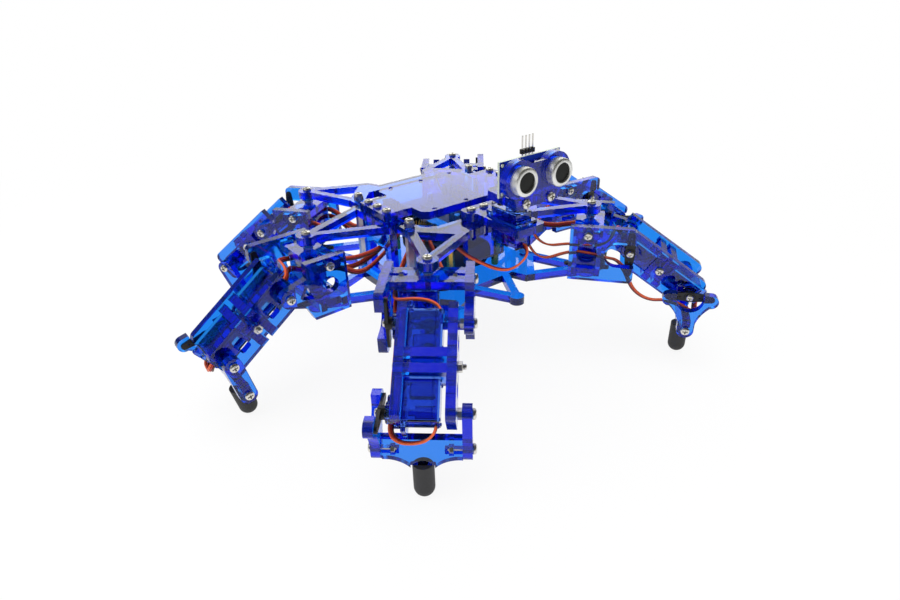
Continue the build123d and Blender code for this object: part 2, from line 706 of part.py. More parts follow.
def range_sensor():
    front = EYE_FRONT - EYE_LEN
    low = EYE_Z - BOARD_H / 2
    board = facing(slab(-BOARD_W / 2, BOARD_W / 2, low, low + BOARD_H), front - BOARD_T, BOARD_T)
    for y in (-BOARD_W / 2 + 2, BOARD_W / 2 - 2):
        board -= Pos(front, y, low + BOARD_H - 2) * turned_to(rod(0.9, -BOARD_T, 0), "+X")
    pieces = [board]
    for y in (-EYE_Y, EYE_Y):
        can = rod(EYE_R, 0, EYE_LEN) - rod(EYE_R - EYE_RIM, EYE_LEN - 1.2, EYE_LEN)
        pieces.append(Pos(front, y, EYE_Z) * turned_to(can, "+X"))
    plug_back = front - BOARD_T - 2.5
    top = low + BOARD_H
    plug = block(plug_back, plug_back + 2.5, -2 * PITCH, 2 * PITCH, top + 0.6, top + 3.1)
    for n in range(4):
        y = (n - 1.5) * PITCH
        pin_x = plug_back + 1.25
        pin = block(pin_x - PIN_HALF, pin_x + PIN_HALF, y - PIN_HALF, y + PIN_HALF, top - 4, top + 10.5)
        plug -= pin
        bend = block(pin_x, front - BOARD_T, y - PIN_HALF, y + PIN_HALF, top - 4, top - 4 + 2 * PIN_HALF)
        pieces.append(pin + bend)
    return pieces + [plug]


# ---- Servo leads, from each servo to its plug on the controller's pin rows
ANKLE_LEAD = [(THIGH + SHAFT_IN, 8.0, 0), (57.5, 8.0, 0), (60.5, 3.0, -5.0), (61.0, -4.0, -8.0),
              (60.5, -10.5, -8.2), (56.5, -15.3, -9.0), (49.0, -15.3, -9.0), (38.0, -15.3, -8.5),
              (24.0, -15.3, -7.8), (9.0, -15.3, -8.5), (-2.0, -15.6, -9.5)]
ANKLE_LEAD_IN_COXA = [(12.0, -17.6, -29.5), (4.0, -18.7, -27.0), (-10.0, -18.7, -25.5)]
KNEE_LEAD = [(-SHAFT_IN, 8.0, 0), (-9.0, 8.0, 0)]
KNEE_LEAD_IN_COXA = [(17.0, 3.0, -16.5), (15.5, -5.0, -16.0), (13.0, -16.4, -18.5), (4.0, -18.7, -21.0),
                     (-10.0, -18.7, -20.5)]
HIP_LEAD = [(0, SHAFT_IN, -18.0), (0, 10.0, -18.0), (-4.5, 13.5, -18.5), (-12.0, 13.5, -20.0)]

# How the ankle, knee and hip lead of each leg hang from its coxa to their plugs: the route, its turn along X
# and Y, and each plug's x on the board with how far before it the lead lines up with it
NEAR_POST = ([(40, -64, -38), (24, -53, -32), (22, -42, -18)], [(50, -57, -30), (38, -43, -19)],
             [(57, -41, -25), (42, -37, -17)])
PAST_POST = ([(58, -37, -39), (42, -37, -26)], [(56, -41, -30), (38, -43, -18)],
             [(42, -62, -25), (25, -52, -22), (22, -42, -16)])
IN_MIDDLE = ([(-11, -71, -38), (-5, -51, -28), (-5, -42, -19)], [(-12, -72, -31), (-1.5, -51, -25),
             (-1.5, -42, -18)], [(9, -72, -33), (4, -51, -26), (4, -42, -18)])
MID_PLUGS = ((-5, 5.0), (-1.5, 5.0), (4, 5.0))
END_PLUGS = ((22, 5.0), (26.5, 7.7), (30, 5.0))
HANGING = {
    "front_right": (NEAR_POST, 1, 1, END_PLUGS),
    "mid_right": (IN_MIDDLE, 1, 1, MID_PLUGS),
    "rear_right": (PAST_POST, -1, 1, END_PLUGS[::-1]),
    "front_left": (PAST_POST, 1, -1, END_PLUGS[::-1]),
    "mid_left": (IN_MIDDLE, -1, -1, MID_PLUGS),
    "rear_left": (NEAR_POST, -1, -1, END_PLUGS),
}
HEAD_LEAD = [(PAN_X + SHAFT_IN, 0, -9.0), (84.5, 0, -9.0), (88.0, -5.0, -15.0), (81.0, -11.0, -25.0),
             (66.0, -17.0, -29.0), (52.0, -22.0, -21.0), (42.0, -25.5, -11.0), (34.0, -25.5, -11.0)]


def lead_tube(points):
    points = [Vector(*point) for point in points]
    runs = [b - a for a, b in zip(points, points[1:])]
    radii = []
    for a, b in zip(runs, runs[1:]):
        half_turn = radians(a.get_angle(b)) / 2
        radii.append(0.45 * min(a.length, b.length) / tan(half_turn))
    print("lead of", round(sum(run.length for run in runs)), "mm, tightest bend", round(min(radii), 1))
    path = FilletPolyline(*points, radius=radii)
    return sweep(Plane(path @ 0, z_dir=path % 0) * Circle(LEAD_R), path=path)


def moved_points(place, points):
    return [(place * Pos(*point)).position for point in points]


def leg_leads(leg):
    hip, knee, ankle = leg_places(*LEGS[leg])
    starts = [moved_points(knee, ANKLE_LEAD) + moved_points(hip, ANKLE_LEAD_IN_COXA),
              moved_points(knee, KNEE_LEAD) + moved_points(hip, KNEE_LEAD_IN_COXA),
              moved_points(hip, HIP_LEAD)]
    routes, along, across, plugs = HANGING[leg]
    leads = []
    for start, route, (plug_x, run) in zip(starts, routes, plugs):
        end = [(plug_x, -PLUG_Y - run, PLUG_Z), (plug_x, -PLUG_Y, PLUG_Z)]
        hanging = [(along * x, across * y, z) for x, y, z in route + end]
        leads.append(lead_tube(start + moved_points(deck, hanging)))
    return leads


# ---- Placing
def thigh_slope_for(shin_slope):
    drop = DECK_TOP - KNEE_DROP - CAP_R - (SHIN - CAP_R) * sin(radians(shin_slope))
    return degrees(asin(drop / THIGH))


def leg_places(x, y, yaw, shin_slope):
    hip = Pos(x, y, DECK_TOP) * Rot(0, 0, yaw)
    thigh_slope = thigh_slope_for(shin_slope)
    knee = hip * Pos(COXA, 0, -KNEE_DROP) * Rot(0, thigh_slope, 0)
    ankle = knee * Pos(THIGH, 0, 0) * Rot(0, shin_slope - thigh_slope, 0)
    return hip, knee, ankle


def placed(place, pieces):
    return Compound([place * piece for piece in pieces])


deck = Pos(0, 0, DECK_TOP)
nodes = {
    "top_plate": placed(deck, top_plate()),
    "lid_plate": placed(deck, lid_plate()),
    "bottom_plate": placed(deck, bottom_plate()),
    "body_walls": placed(deck, body_walls()),
    "body_fasteners": placed(deck, body_fasteners()),
    "hip_pivots": placed(deck, hip_pivots()),
    "controller_board": placed(deck, controller_board()),
    "battery_pack": placed(deck, battery_pack()),
    "head_servo": placed(deck, head_servo()),
    "head_frame": placed(deck, head_frame()),
    "range_sensor": placed(deck, range_sensor()),
}

for leg, (x, y, yaw, shin_slope) in LEGS.items():
    hip, knee, ankle = leg_places(x, y, yaw, shin_slope)
    nodes[f"{leg}_coxa_frame"] = placed(hip, coxa_frame())
    nodes[f"{leg}_hip_servo"] = placed(hip, [hip_servo()])
    nodes[f"{leg}_knee_hardware"] = placed(hip, knee_hardware())
    nodes[f"{leg}_thigh_frame"] = placed(knee, thigh_frame())
    nodes[f"{leg}_thigh_servos"] = placed(knee, thigh_servos())
    nodes[f"{leg}_foot_frame"] = placed(ankle, foot_frame())
    nodes[f"{leg}_ankle_hardware"] = placed(ankle, ankle_hardware())
    nodes[f"{leg}_foot_cap"] = placed(ankle, foot_cap())
    print(leg, "thigh slope", round(thigh_slope_for(shin_slope), 3))

leads = [lead for leg in LEGS for lead in leg_leads(leg)]
leads.append(lead_tube(moved_points(deck, HEAD_LEAD)))
space = Compound(list(nodes.values())).bounding_box().center()
nodes["servo_leads"] = Compound(leads)
middle = Pos(-round(space.X, 1), -round(space.Y, 1), 0)
print("moved by", middle.position.X, middle.position.Y)
for name, node in nodes.items():
    export_step(middle * node, f"parts/{name}.step")
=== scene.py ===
# A six-legged walking robot in clear blue acrylic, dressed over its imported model. Units are metres.
import json

import bmesh
import bpy
from math import cos, degrees, log, pi, radians, sin
from mathutils import Matrix, Vector
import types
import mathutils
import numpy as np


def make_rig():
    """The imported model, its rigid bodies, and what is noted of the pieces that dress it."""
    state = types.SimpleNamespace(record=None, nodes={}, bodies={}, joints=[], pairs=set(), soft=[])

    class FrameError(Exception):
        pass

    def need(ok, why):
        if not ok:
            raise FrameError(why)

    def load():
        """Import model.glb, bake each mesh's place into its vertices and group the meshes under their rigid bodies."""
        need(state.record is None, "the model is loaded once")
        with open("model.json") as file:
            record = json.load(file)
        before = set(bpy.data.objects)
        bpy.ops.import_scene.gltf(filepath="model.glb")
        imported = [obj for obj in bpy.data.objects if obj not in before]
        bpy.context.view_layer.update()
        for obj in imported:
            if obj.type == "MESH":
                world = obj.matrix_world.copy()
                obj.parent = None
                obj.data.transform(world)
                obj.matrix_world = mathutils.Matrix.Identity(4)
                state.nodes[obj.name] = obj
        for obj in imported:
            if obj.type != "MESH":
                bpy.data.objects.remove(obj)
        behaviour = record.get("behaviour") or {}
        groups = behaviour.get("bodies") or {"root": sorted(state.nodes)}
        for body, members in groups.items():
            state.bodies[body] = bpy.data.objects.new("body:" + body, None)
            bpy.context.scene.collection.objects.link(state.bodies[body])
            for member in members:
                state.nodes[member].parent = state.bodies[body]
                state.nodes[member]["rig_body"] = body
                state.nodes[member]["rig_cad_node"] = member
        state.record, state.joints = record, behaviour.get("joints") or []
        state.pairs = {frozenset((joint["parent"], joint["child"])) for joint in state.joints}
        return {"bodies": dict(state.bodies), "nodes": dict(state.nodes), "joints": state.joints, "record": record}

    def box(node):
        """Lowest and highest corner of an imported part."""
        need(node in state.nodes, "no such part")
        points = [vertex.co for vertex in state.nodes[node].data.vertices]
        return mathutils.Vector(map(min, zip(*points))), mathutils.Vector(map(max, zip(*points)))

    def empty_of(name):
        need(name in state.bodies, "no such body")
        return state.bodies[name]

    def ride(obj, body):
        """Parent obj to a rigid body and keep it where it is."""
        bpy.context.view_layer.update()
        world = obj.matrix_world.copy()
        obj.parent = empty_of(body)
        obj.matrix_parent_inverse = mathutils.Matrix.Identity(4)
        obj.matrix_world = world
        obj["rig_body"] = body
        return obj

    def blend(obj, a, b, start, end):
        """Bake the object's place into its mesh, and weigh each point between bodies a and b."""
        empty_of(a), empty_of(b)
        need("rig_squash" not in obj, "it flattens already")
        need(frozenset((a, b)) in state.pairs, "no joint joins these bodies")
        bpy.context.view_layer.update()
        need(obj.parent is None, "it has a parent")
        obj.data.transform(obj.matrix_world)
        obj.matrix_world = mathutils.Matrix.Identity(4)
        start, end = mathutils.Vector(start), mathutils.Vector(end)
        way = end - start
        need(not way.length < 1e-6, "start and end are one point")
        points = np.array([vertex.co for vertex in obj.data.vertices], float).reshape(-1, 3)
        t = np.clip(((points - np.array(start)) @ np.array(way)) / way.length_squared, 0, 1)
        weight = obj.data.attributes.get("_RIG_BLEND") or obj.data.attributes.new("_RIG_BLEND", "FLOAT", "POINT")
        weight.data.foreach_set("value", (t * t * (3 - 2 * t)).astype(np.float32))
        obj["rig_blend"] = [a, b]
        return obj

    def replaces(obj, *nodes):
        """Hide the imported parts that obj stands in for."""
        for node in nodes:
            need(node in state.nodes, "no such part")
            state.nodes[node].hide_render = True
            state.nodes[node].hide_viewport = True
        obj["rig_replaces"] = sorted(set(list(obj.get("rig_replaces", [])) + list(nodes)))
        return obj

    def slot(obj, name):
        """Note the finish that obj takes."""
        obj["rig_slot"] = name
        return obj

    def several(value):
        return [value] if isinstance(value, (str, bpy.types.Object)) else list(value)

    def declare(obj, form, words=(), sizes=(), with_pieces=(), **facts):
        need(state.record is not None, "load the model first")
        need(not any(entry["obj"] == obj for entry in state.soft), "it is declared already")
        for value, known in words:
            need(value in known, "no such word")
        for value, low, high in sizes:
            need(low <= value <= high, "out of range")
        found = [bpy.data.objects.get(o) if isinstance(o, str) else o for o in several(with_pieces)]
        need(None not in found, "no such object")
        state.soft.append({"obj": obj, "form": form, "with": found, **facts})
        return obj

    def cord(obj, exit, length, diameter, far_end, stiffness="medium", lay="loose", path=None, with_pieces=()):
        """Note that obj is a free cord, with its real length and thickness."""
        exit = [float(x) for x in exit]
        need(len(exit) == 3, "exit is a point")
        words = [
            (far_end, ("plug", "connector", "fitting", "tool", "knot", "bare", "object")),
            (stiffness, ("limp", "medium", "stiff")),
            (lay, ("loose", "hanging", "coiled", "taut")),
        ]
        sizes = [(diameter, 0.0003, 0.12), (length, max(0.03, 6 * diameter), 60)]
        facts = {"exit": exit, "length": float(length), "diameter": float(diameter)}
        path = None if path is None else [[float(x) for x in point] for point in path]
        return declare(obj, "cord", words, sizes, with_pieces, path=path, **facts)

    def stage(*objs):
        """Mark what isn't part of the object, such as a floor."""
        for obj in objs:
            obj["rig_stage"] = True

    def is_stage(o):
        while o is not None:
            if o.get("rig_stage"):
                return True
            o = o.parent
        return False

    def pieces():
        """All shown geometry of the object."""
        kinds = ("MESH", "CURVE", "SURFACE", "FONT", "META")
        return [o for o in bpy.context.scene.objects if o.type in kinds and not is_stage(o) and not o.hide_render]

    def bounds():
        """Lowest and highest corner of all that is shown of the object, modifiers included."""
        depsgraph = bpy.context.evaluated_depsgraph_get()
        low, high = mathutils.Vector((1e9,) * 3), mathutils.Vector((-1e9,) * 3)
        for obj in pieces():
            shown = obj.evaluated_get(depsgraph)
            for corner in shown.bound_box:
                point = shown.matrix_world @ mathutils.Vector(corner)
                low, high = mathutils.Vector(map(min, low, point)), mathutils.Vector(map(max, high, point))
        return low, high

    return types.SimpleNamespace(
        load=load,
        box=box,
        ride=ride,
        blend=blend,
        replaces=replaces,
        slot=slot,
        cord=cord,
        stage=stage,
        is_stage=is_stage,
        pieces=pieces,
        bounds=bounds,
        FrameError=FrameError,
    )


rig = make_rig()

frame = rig.load()
cadBox = [list(corner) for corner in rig.bounds()]
joints = {joint["name"]: joint for joint in frame["joints"]}
legNames = [name[:-len("_hip")] for name in joints if name.endswith("_hip")]
print("frame loaded:", len(frame["nodes"]), "nodes,", len(legNames), "legs")


# ---------- camera, light and floor
def linked(name, data):
    made = bpy.data.objects.new(name, data)
    bpy.context.scene.collection.objects.link(made)
    return made


def turnAbout(axis, angle):
    return Matrix.Rotation(radians(angle), 4, axis)


def shift(x=0.0, y=0.0, z=0.0):
    return Matrix.Translation((x, y, z))


view = {
    "place": (0.3226, -0.2298, 0.2445),
    "turn": 54.10,       # degrees from +Y towards the left of the view
    "down": 29.07,
    "roll": 1.83,
    "lens": 24.45,
}


def addCamera():
    data = bpy.data.cameras.new("camera")
    data.lens = view["lens"]
    camera = linked("camera", data)
    turn, tilt = turnAbout("Z", view["turn"]), turnAbout("X", 90 - view["down"])
    camera.matrix_world = shift(*view["place"]) @ turn @ tilt @ turnAbout("Z", -view["roll"])
    bpy.context.scene.camera = camera


def linearColour(text):
    parts = [int(text[i:i + 2], 16) / 255 for i in (1, 3, 5)]
    return [c / 12.92 if c <= 0.04045 else ((c + 0.055) / 1.055) ** 2.4 for c in parts] + [1.0]


# Each input takes a value, a socket, or a node for its first output
def feed(node, inputs):
    for name, value in inputs.items():
        if isinstance(value, bpy.types.Node):
            value = value.outputs[0]
        if isinstance(value, bpy.types.NodeSocket):
            node.id_data.links.new(value, node.inputs[name])
        else:
            node.inputs[name].default_value = value


def addNode(tree, kind, inputs={}, **settings):
    made = tree.nodes.new("ShaderNode" + kind)
    for name, value in settings.items():
        setattr(made, name, value)
    feed(made, inputs)
    return made


# A value carried from one span to another, straight or eased at both ends
def addRange(tree, value, start, to, eased=False):
    names = ("From Min", "From Max", "To Min", "To Max")
    return addNode(tree, "MapRange", {"Value": value, **dict(zip(names, (*start, *to)))},
                   interpolation_type="SMOOTHSTEP" if eased else "LINEAR")


def newMaterial(name, inputs):
    material = bpy.data.materials.new(name)
    material.use_nodes = True
    tree = material.node_tree
    shader = tree.nodes["Principled BSDF"]
    feed(shader, inputs)
    return material, tree, shader


studio = {
    "worldLevel": 0.62,
    "sweep": (-0.75, 0.54, 0.38),   # where the white sweep stands, seen from the robot
    "sweepEdge": (0.62, 0.90),      # how far from its middle it fades into the room, as cosines
    "sweepBlue": 0.88,              # the blue in what gloss meets: the sweep is a warm white
    "roomLevel": 0.06,              # what gloss meets on the other side of the room
    "ceilingLevel": 0.10,           # what is seen straight up through the acrylic
    "ceilingEdge": (0.30, 0.70),    # where the ceiling fades in, as the upward part of a direction
    "floorColour": "#f6f6f6",
    "floorHalf": 6.0,
    "floorUnder": 0.0002,
    "shadowShare": 0.10,
    "shadowReach": (0.30, 0.75),
    "lampAim": (0, 0, 0.06),
}
lamps = {
    "overhead": {"power": 8.0, "size": 1.0, "place": (0.1, -0.2, 1.2), "inGloss": False},
    "back": {"power": 4.0, "size": 1.0, "place": (-1.0, 0.72, 0.85), "inGloss": True},
    "side": {"power": 2.0, "size": 0.5, "place": (-0.28, -0.90, 0.80), "inGloss": True},
}


# The background is white, also through the acrylic, under a dim ceiling. Gloss meets that white on the
# side of the sweep and a dimmer room on the other
def addWorld():
    world = bpy.data.worlds.new("studio")
    bpy.context.scene.world = world
    world.use_nodes = True
    tree = world.node_tree
    tree.nodes.clear()
    rays = addNode(tree, "LightPath").outputs
    gloss, direction = rays["Is Glossy Ray"], addNode(tree, "TexCoord").outputs["Generated"]
    toSweep = addNode(tree, "VectorMath", {0: direction, 1: studio["sweep"]}, operation="DOT_PRODUCT")
    sweep = addRange(tree, toSweep.outputs["Value"], studio["sweepEdge"], (studio["roomLevel"], 1.0), True)
    lit = addNode(tree, "Mix", {"Factor": gloss, "A": studio["worldLevel"], "B": sweep})
    upward = addNode(tree, "SeparateXYZ", {"Vector": direction}).outputs["Z"]
    ceiling = addRange(tree, upward, studio["ceilingEdge"], (1.0, studio["ceilingLevel"]), True)
    clear = addNode(tree, "Mix", {"Factor": rays["Is Transmission Ray"], "A": lit, "B": ceiling})
    level = addNode(tree, "Mix", {"Factor": rays["Is Camera Ray"], "A": clear, "B": 1.0})
    blue = addNode(tree, "Mix", {"Factor": gloss, "A": 1.0, "B": studio["sweepBlue"]})
    colour = addNode(tree, "CombineColor", {"Red": 1.0, "Green": 1.0, "Blue": blue})
    light = addNode(tree, "Background", {"Color": colour, "Strength": level})
    addNode(tree, "OutputWorld", {"Surface": light})


def addLamps():
    for name, say in lamps.items():
        data = bpy.data.lights.new(name, "AREA")
        data.energy = say["power"]
        data.size = say["size"]
        lamp = linked(name, data)
        lamp.visible_glossy = say["inGloss"]
        away = Vector(say["place"]) - Vector(studio["lampAim"])
        lamp.matrix_world = Matrix.Translation(say["place"]) @ away.to_track_quat("Z", "Y").to_matrix().to_4x4()


# Most of what the eye gets from the floor is its own white, so that the robot's shadow stays faint
def addFloor():
    bm = bmesh.new()
    bmesh.ops.create_grid(bm, x_segments=1, y_segments=1, size=studio["floorHalf"])
    data = bpy.data.meshes.new("floor")
    bm.to_mesh(data)
    bm.free()
    floor = linked("floor", data)
    floor.location.z = -studio["floorUnder"]
    material, tree, shader = newMaterial("paperSweep", {
        "Base Color": linearColour(studio["floorColour"]), "Roughness": 1.0, "Specular IOR Level": 0.0})
    rays = addNode(tree, "LightPath").outputs
    seen = addNode(tree, "Math", {0: rays["Is Camera Ray"], 1: rays["Is Transmission Ray"]}, operation="MAXIMUM")
    seen = addNode(tree, "Math", {0: seen, 1: rays["Is Glossy Ray"]}, operation="MAXIMUM")
    place = addNode(tree, "TexCoord").outputs["Object"]
    away = addNode(tree, "VectorMath", {0: place}, operation="LENGTH").outputs["Value"]
    share = addRange(tree, away, studio["shadowReach"], (1 - studio["shadowShare"], 1.0), True)
    amount = addNode(tree, "Math", {0: share, 1: seen}, operation="MULTIPLY")
    white = addNode(tree, "Emission", {"Color": (1, 1, 1, 1), "Strength": 1.0})
    both = addNode(tree, "MixShader", {0: amount, 1: shader, 2: white})
    feed(tree.nodes["Material Output"], {"Surface": both})
    data.materials.append(material)
    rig.stage(floor)


addCamera()
addWorld()
addLamps()
addFloor()
print("camera, light and floor made")


# ---------- finishes
# Noise that stays with the object, at a spacing in metres
def addNoise(tree, spacing, detail):
    place = addNode(tree, "TexCoord").outputs["Object"]
    point = addNode(tree, "Mapping", {"Vector": place, "Scale": (1 / spacing,) * 3})
    return addNode(tree, "TexNoise", {"Vector": point, "Scale": 1.0, "Detail": detail})


# Light that has gone the thickness of one sheet keeps the colour that is given
def absorbing(tree, through, thickness):
    density = -log(max(through[0], 0.01)) / thickness
    tint = [1 + log(max(c, 0.01)) / thickness / density for c in through[:3]]
    depth = addNode(tree, "VolumeAbsorption", {"Color": tint + [1], "Density": density})
    feed(tree.nodes["Material Output"], {"Volume": depth})


acrylic = {
    "sheet": 0.005,
    "through": "#2a8ff5",
    "ior": 1.49,
    "gloss": 0.35,
    "face": "#ffffff",
    "cutEdge": "#2c62f2",
    "frost": 0.08,               # how much of a cut edge scatters instead of letting light in
    "scuffSpacing": 0.004,
    "scuffSpan": (0.4, 0.8),     # the part of the noise that shows as scuffs
    "faceRough": (0.02, 0.12),
    "edgeRough": 0.10,
    "cutLines": 0.0007,
    "cutDepth": 0.00006,
}


# Cast acrylic, laser cut: clear azure through one sheet, navy through several or along a sheet, glossy on
# its faces and faintly ribbed and duller on its cut edges
def castAcrylic():
    material, tree, shader = newMaterial("castAcrylic", {
        "IOR": acrylic["ior"], "Specular IOR Level": acrylic["gloss"]})
    edge = addNode(tree, "Attribute", attribute_name="cutEdge").outputs["Fac"]
    clear = addRange(tree, edge, (0.0, 1.0), (1.0, 1 - acrylic["frost"]))
    face, cut = linearColour(acrylic["face"]), linearColour(acrylic["cutEdge"])
    colour = addNode(tree, "Mix", {0: edge, 6: face, 7: cut}, data_type="RGBA")
    scuff = addNoise(tree, acrylic["scuffSpacing"], 4.0)
    rough = addRange(tree, scuff, acrylic["scuffSpan"], acrylic["faceRough"])
    duller = addNode(tree, "Math", {0: edge, 1: acrylic["edgeRough"], 2: rough}, operation="MULTIPLY_ADD")
    ribs = addNoise(tree, acrylic["cutLines"], 2.0)
    height = addNode(tree, "Math", {0: ribs, 1: edge}, operation="MULTIPLY")
    relief = addNode(tree, "Bump", {"Height": height, "Distance": acrylic["cutDepth"], "Strength": 0.5})
    feed(shader, {"Transmission Weight": clear, "Base Color": colour.outputs[2], "Roughness": duller,
                  "Normal": relief})
    absorbing(tree, linearColour(acrylic["through"]), acrylic["sheet"])
    return material


tinted = {"through": "#4d78dc", "ior": 1.58, "haze": 0.04, "flow": 0.003}


# Moulded polycarbonate of the servo cases: clear, deeply tinted and a little hazy, so that the gears show
def tintedCase():
    material, tree, shader = newMaterial("tintedPolycarbonate", {
        "Transmission Weight": 1.0, "IOR": tinted["ior"], "Base Color": linearColour(tinted["through"])})
    haze = addNoise(tree, tinted["flow"], 3.0)
    feed(shader, {"Roughness": addRange(tree, haze, (0.0, 1.0), (0.0, tinted["haze"]))})
    return material


# One colour whose gloss varies a little with the metal's or the moulding's grain
def plainFinish(name, colour, roughness, metallic=0.0, grain=0.0015, bump=0.0):
    spread = 0.08
    material, tree, shader = newMaterial(name, {"Base Color": linearColour(colour), "Metallic": metallic})
    noise = addNoise(tree, grain, 3.0)
    feed(shader, {"Roughness": addRange(tree, noise, (0.0, 1.0), (roughness - spread, roughness + spread))})
    if bump:
        feed(shader, {"Normal": addNode(tree, "Bump", {"Height": noise, "Distance": bump, "Strength": 0.6})})
    return material


def metalFinish(name, colour, roughness):
    return plainFinish(name, colour, roughness, metallic=1.0)


def jacket(name, colour):
    return plainFinish(name, colour, 0.40, grain=0.0009, bump=0.00002)


finishes = {
    "acrylic": castAcrylic(),
    "case": tintedCase(),
    "nickel": metalFinish("nickelPlatedSteel", "#dedbd4", 0.30),
    "nylon": plainFinish("mouldedNylon", "#0d0d0f", 0.42, bump=0.00003),
    "whiteNylon": plainFinish("whiteNylonGear", "#dfe3ea", 0.45),
    "rubber": plainFinish("mouldedRubber", "#303032", 0.62, grain=0.0008, bump=0.00006),
    "board": plainFinish("solderMask", "#0b2f5c", 0.38),
    "greenBoard": plainFinish("greenSolderMask", "#0d4a2c", 0.40),
    "shrink": plainFinish("heatShrinkSleeve", "#15151b", 0.34, grain=0.004, bump=0.0002),
    "aluminium": metalFinish("drawnAluminium", "#f6f6f3", 0.50),
    "steel": metalFinish("motorSteel", "#a9a8a4", 0.30),
    "brass": metalFinish("turnedBrass", "#c9a24e", 0.28),
    "tin": metalFinish("tinnedCopper", "#c9c9c6", 0.24),
    "blueMask": plainFinish("blueSolderMask", "#1c3fae", 0.34),
    "fibreglass": plainFinish("fibreglassEdge", "#cfd8c8", 0.55),
    "chipBlack": plainFinish("chipResin", "#141416", 0.46),
    "ceramic": plainFinish("ceramicPart", "#b08a5a", 0.40),
    "gauze": plainFinish("wireGauze", "#20211f", 0.50, metallic=0.6, grain=0.0004, bump=0.0001),
    "leadOrange": jacket("orangeWireJacket", "#e8622c"),
    "leadRed": jacket("redWireJacket", "#b8261b"),
    "leadBrown": jacket("brownWireJacket", "#5a2a1a"),
}

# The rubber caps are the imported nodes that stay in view
for name, part in frame["nodes"].items():
    if name.endswith("foot_cap"):
        part.data.materials.clear()
        part.data.materials.append(finishes["rubber"])


# ---------- small shapes that repeat
def finishObject(name, bm, finish, smooth=35.0):
    data = bpy.data.meshes.new(name)
    bm.normal_update()
    for edge in bm.edges:
        edge.smooth = len(edge.link_faces) == 2 and degrees(edge.calc_face_angle(0)) < smooth
    for face in bm.faces:
        face.smooth = True
    bm.to_mesh(data)
    bm.free()
    for one in [finish] if isinstance(finish, str) else finish:
        data.materials.append(finishes[one])
    return linked(name, data)


# A finished piece on its body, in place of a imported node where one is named
def addPiece(name, bm, finish, bodyName, slot=None, node=None, smooth=35.0):
    piece = finishObject(name, bm, finish, smooth)
    if slot:
        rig.slot(piece, slot)
    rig.ride(piece, bodyName)
    if node:
        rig.replaces(piece, node)


def edgesAlong(bm, axis):
    return [e for e in bm.edges if abs(e.verts[0].co[axis] - e.verts[1].co[axis]) > 1e-6]


def edgesAcross(bm, axis):
    return [e for e in bm.edges if abs(e.verts[0].co[axis] - e.verts[1].co[axis]) < 1e-6]


def bevelled(bm, edges, offset, segments=1):
    bmesh.ops.bevel(bm, geom=edges, offset=offset, offset_type="OFFSET", segments=segments, profile=0.5,
                    affect="EDGES", material=-1)
    return bm


def moved(bm, x=0.0, y=0.0, z=0.0):
    bmesh.ops.translate(bm, verts=bm.verts[:], vec=(x, y, z))
    return bm


def bisected(bm, point, normal):
    bmesh.ops.bisect_plane(bm, geom=bm.verts[:] + bm.edges[:] + bm.faces[:], plane_co=point, plane_no=normal)


def cuboid(long, wide, high, z=0.0):
    bm = bmesh.new()
    bmesh.ops.create_cube(bm, size=1.0, matrix=shift(z=z) @ Matrix.Diagonal((long, wide, high, 1)))
    return bm


def standing(long, wide, low, high):
    return cuboid(long, wide, high - low, (low + high) / 2)


# A turned shape: profile points are (radius, height), joined by spinning them about Z
def turned(profile, steps=24):
    bm = bmesh.new()
    points = [bm.verts.new((r, 0, z)) for r, z in profile]
    for a, b in zip(points, points[1:]):
        bm.edges.new((a, b))
    bmesh.ops.spin(bm, geom=bm.verts[:] + bm.edges[:], cent=(0, 0, 0), axis=(0, 0, 1), angle=2 * pi,
                   steps=steps, use_merge=True)
    bmesh.ops.remove_doubles(bm, verts=bm.verts[:], dist=1e-6)
    bmesh.ops.recalc_face_normals(bm, faces=bm.faces[:])
    return bm


def peg(radius, low, high, steps):
    return turned([(0, low), (radius, low), (radius, high), (0, high)], steps)


def prism(outline, z, height):
    bm = bmesh.new()
    face = bm.faces.new([bm.verts.new((x, y, z)) for x, y in outline])
    grown = bmesh.ops.extrude_face_region(bm, geom=[face])
    bmesh.ops.translate(bm, verts=[v for v in grown["geom"] if isinstance(v, bmesh.types.BMVert)],
                        vec=(0, 0, height))
    bmesh.ops.recalc_face_normals(bm, faces=bm.faces[:])
    return bm


def cornersOf(x, y):
    return [(sx * x, sy * y) for sx in (-1, 1) for sy in (-1, 1)]


# Points evenly round Z, one for each radius given
def ringOf(radii, start=0.0):
    step = 2 * pi / len(radii)
    return [(r * cos(start + step * n), r * sin(start + step * n)) for n, r in enumerate(radii)]


# Cuts one closed shape out of another, or joins the two, and gives the result as a new bmesh
def cutOut(body, tool, how="DIFFERENCE"):
    pair = []
    for bm in (body, tool):
        data = bpy.data.meshes.new("cut")
        bm.to_mesh(data)
        bm.free()
        pair.append(linked("cut", data))
    modifier = pair[0].modifiers.new("cut", "BOOLEAN")
    modifier.operation = how
    modifier.solver = "EXACT"
    modifier.object = pair[1]
    result = bmesh.new()
    result.from_object(pair[0], bpy.context.evaluated_depsgraph_get())
    for one in pair:
        bpy.data.objects.remove(one)
    return result


def addShape(bm, shape, place=Matrix.Identity(4), slot=0):
    data = bpy.data.meshes.new("shape")
    shape.to_mesh(data)
    vertsBefore, facesBefore = len(bm.verts), len(bm.faces)
    bm.from_mesh(data)
    bpy.data.meshes.remove(data)
    bm.verts.ensure_lookup_table()
    bm.faces.ensure_lookup_table()
    bmesh.ops.transform(bm, matrix=place, verts=bm.verts[vertsBefore:])
    for face in bm.faces[facesBefore:]:
        face.material_index = slot


fastener = {"shank": 0.0015, "pitch": 0.0005, "head": 0.0028, "headHigh": 0.0020, "hornHead": 0.0023,
            "hornHeadHigh": 0.0016, "nut": 0.0030, "nutHigh": 0.0024, "bore": 0.00155, "inTee": 0.008}


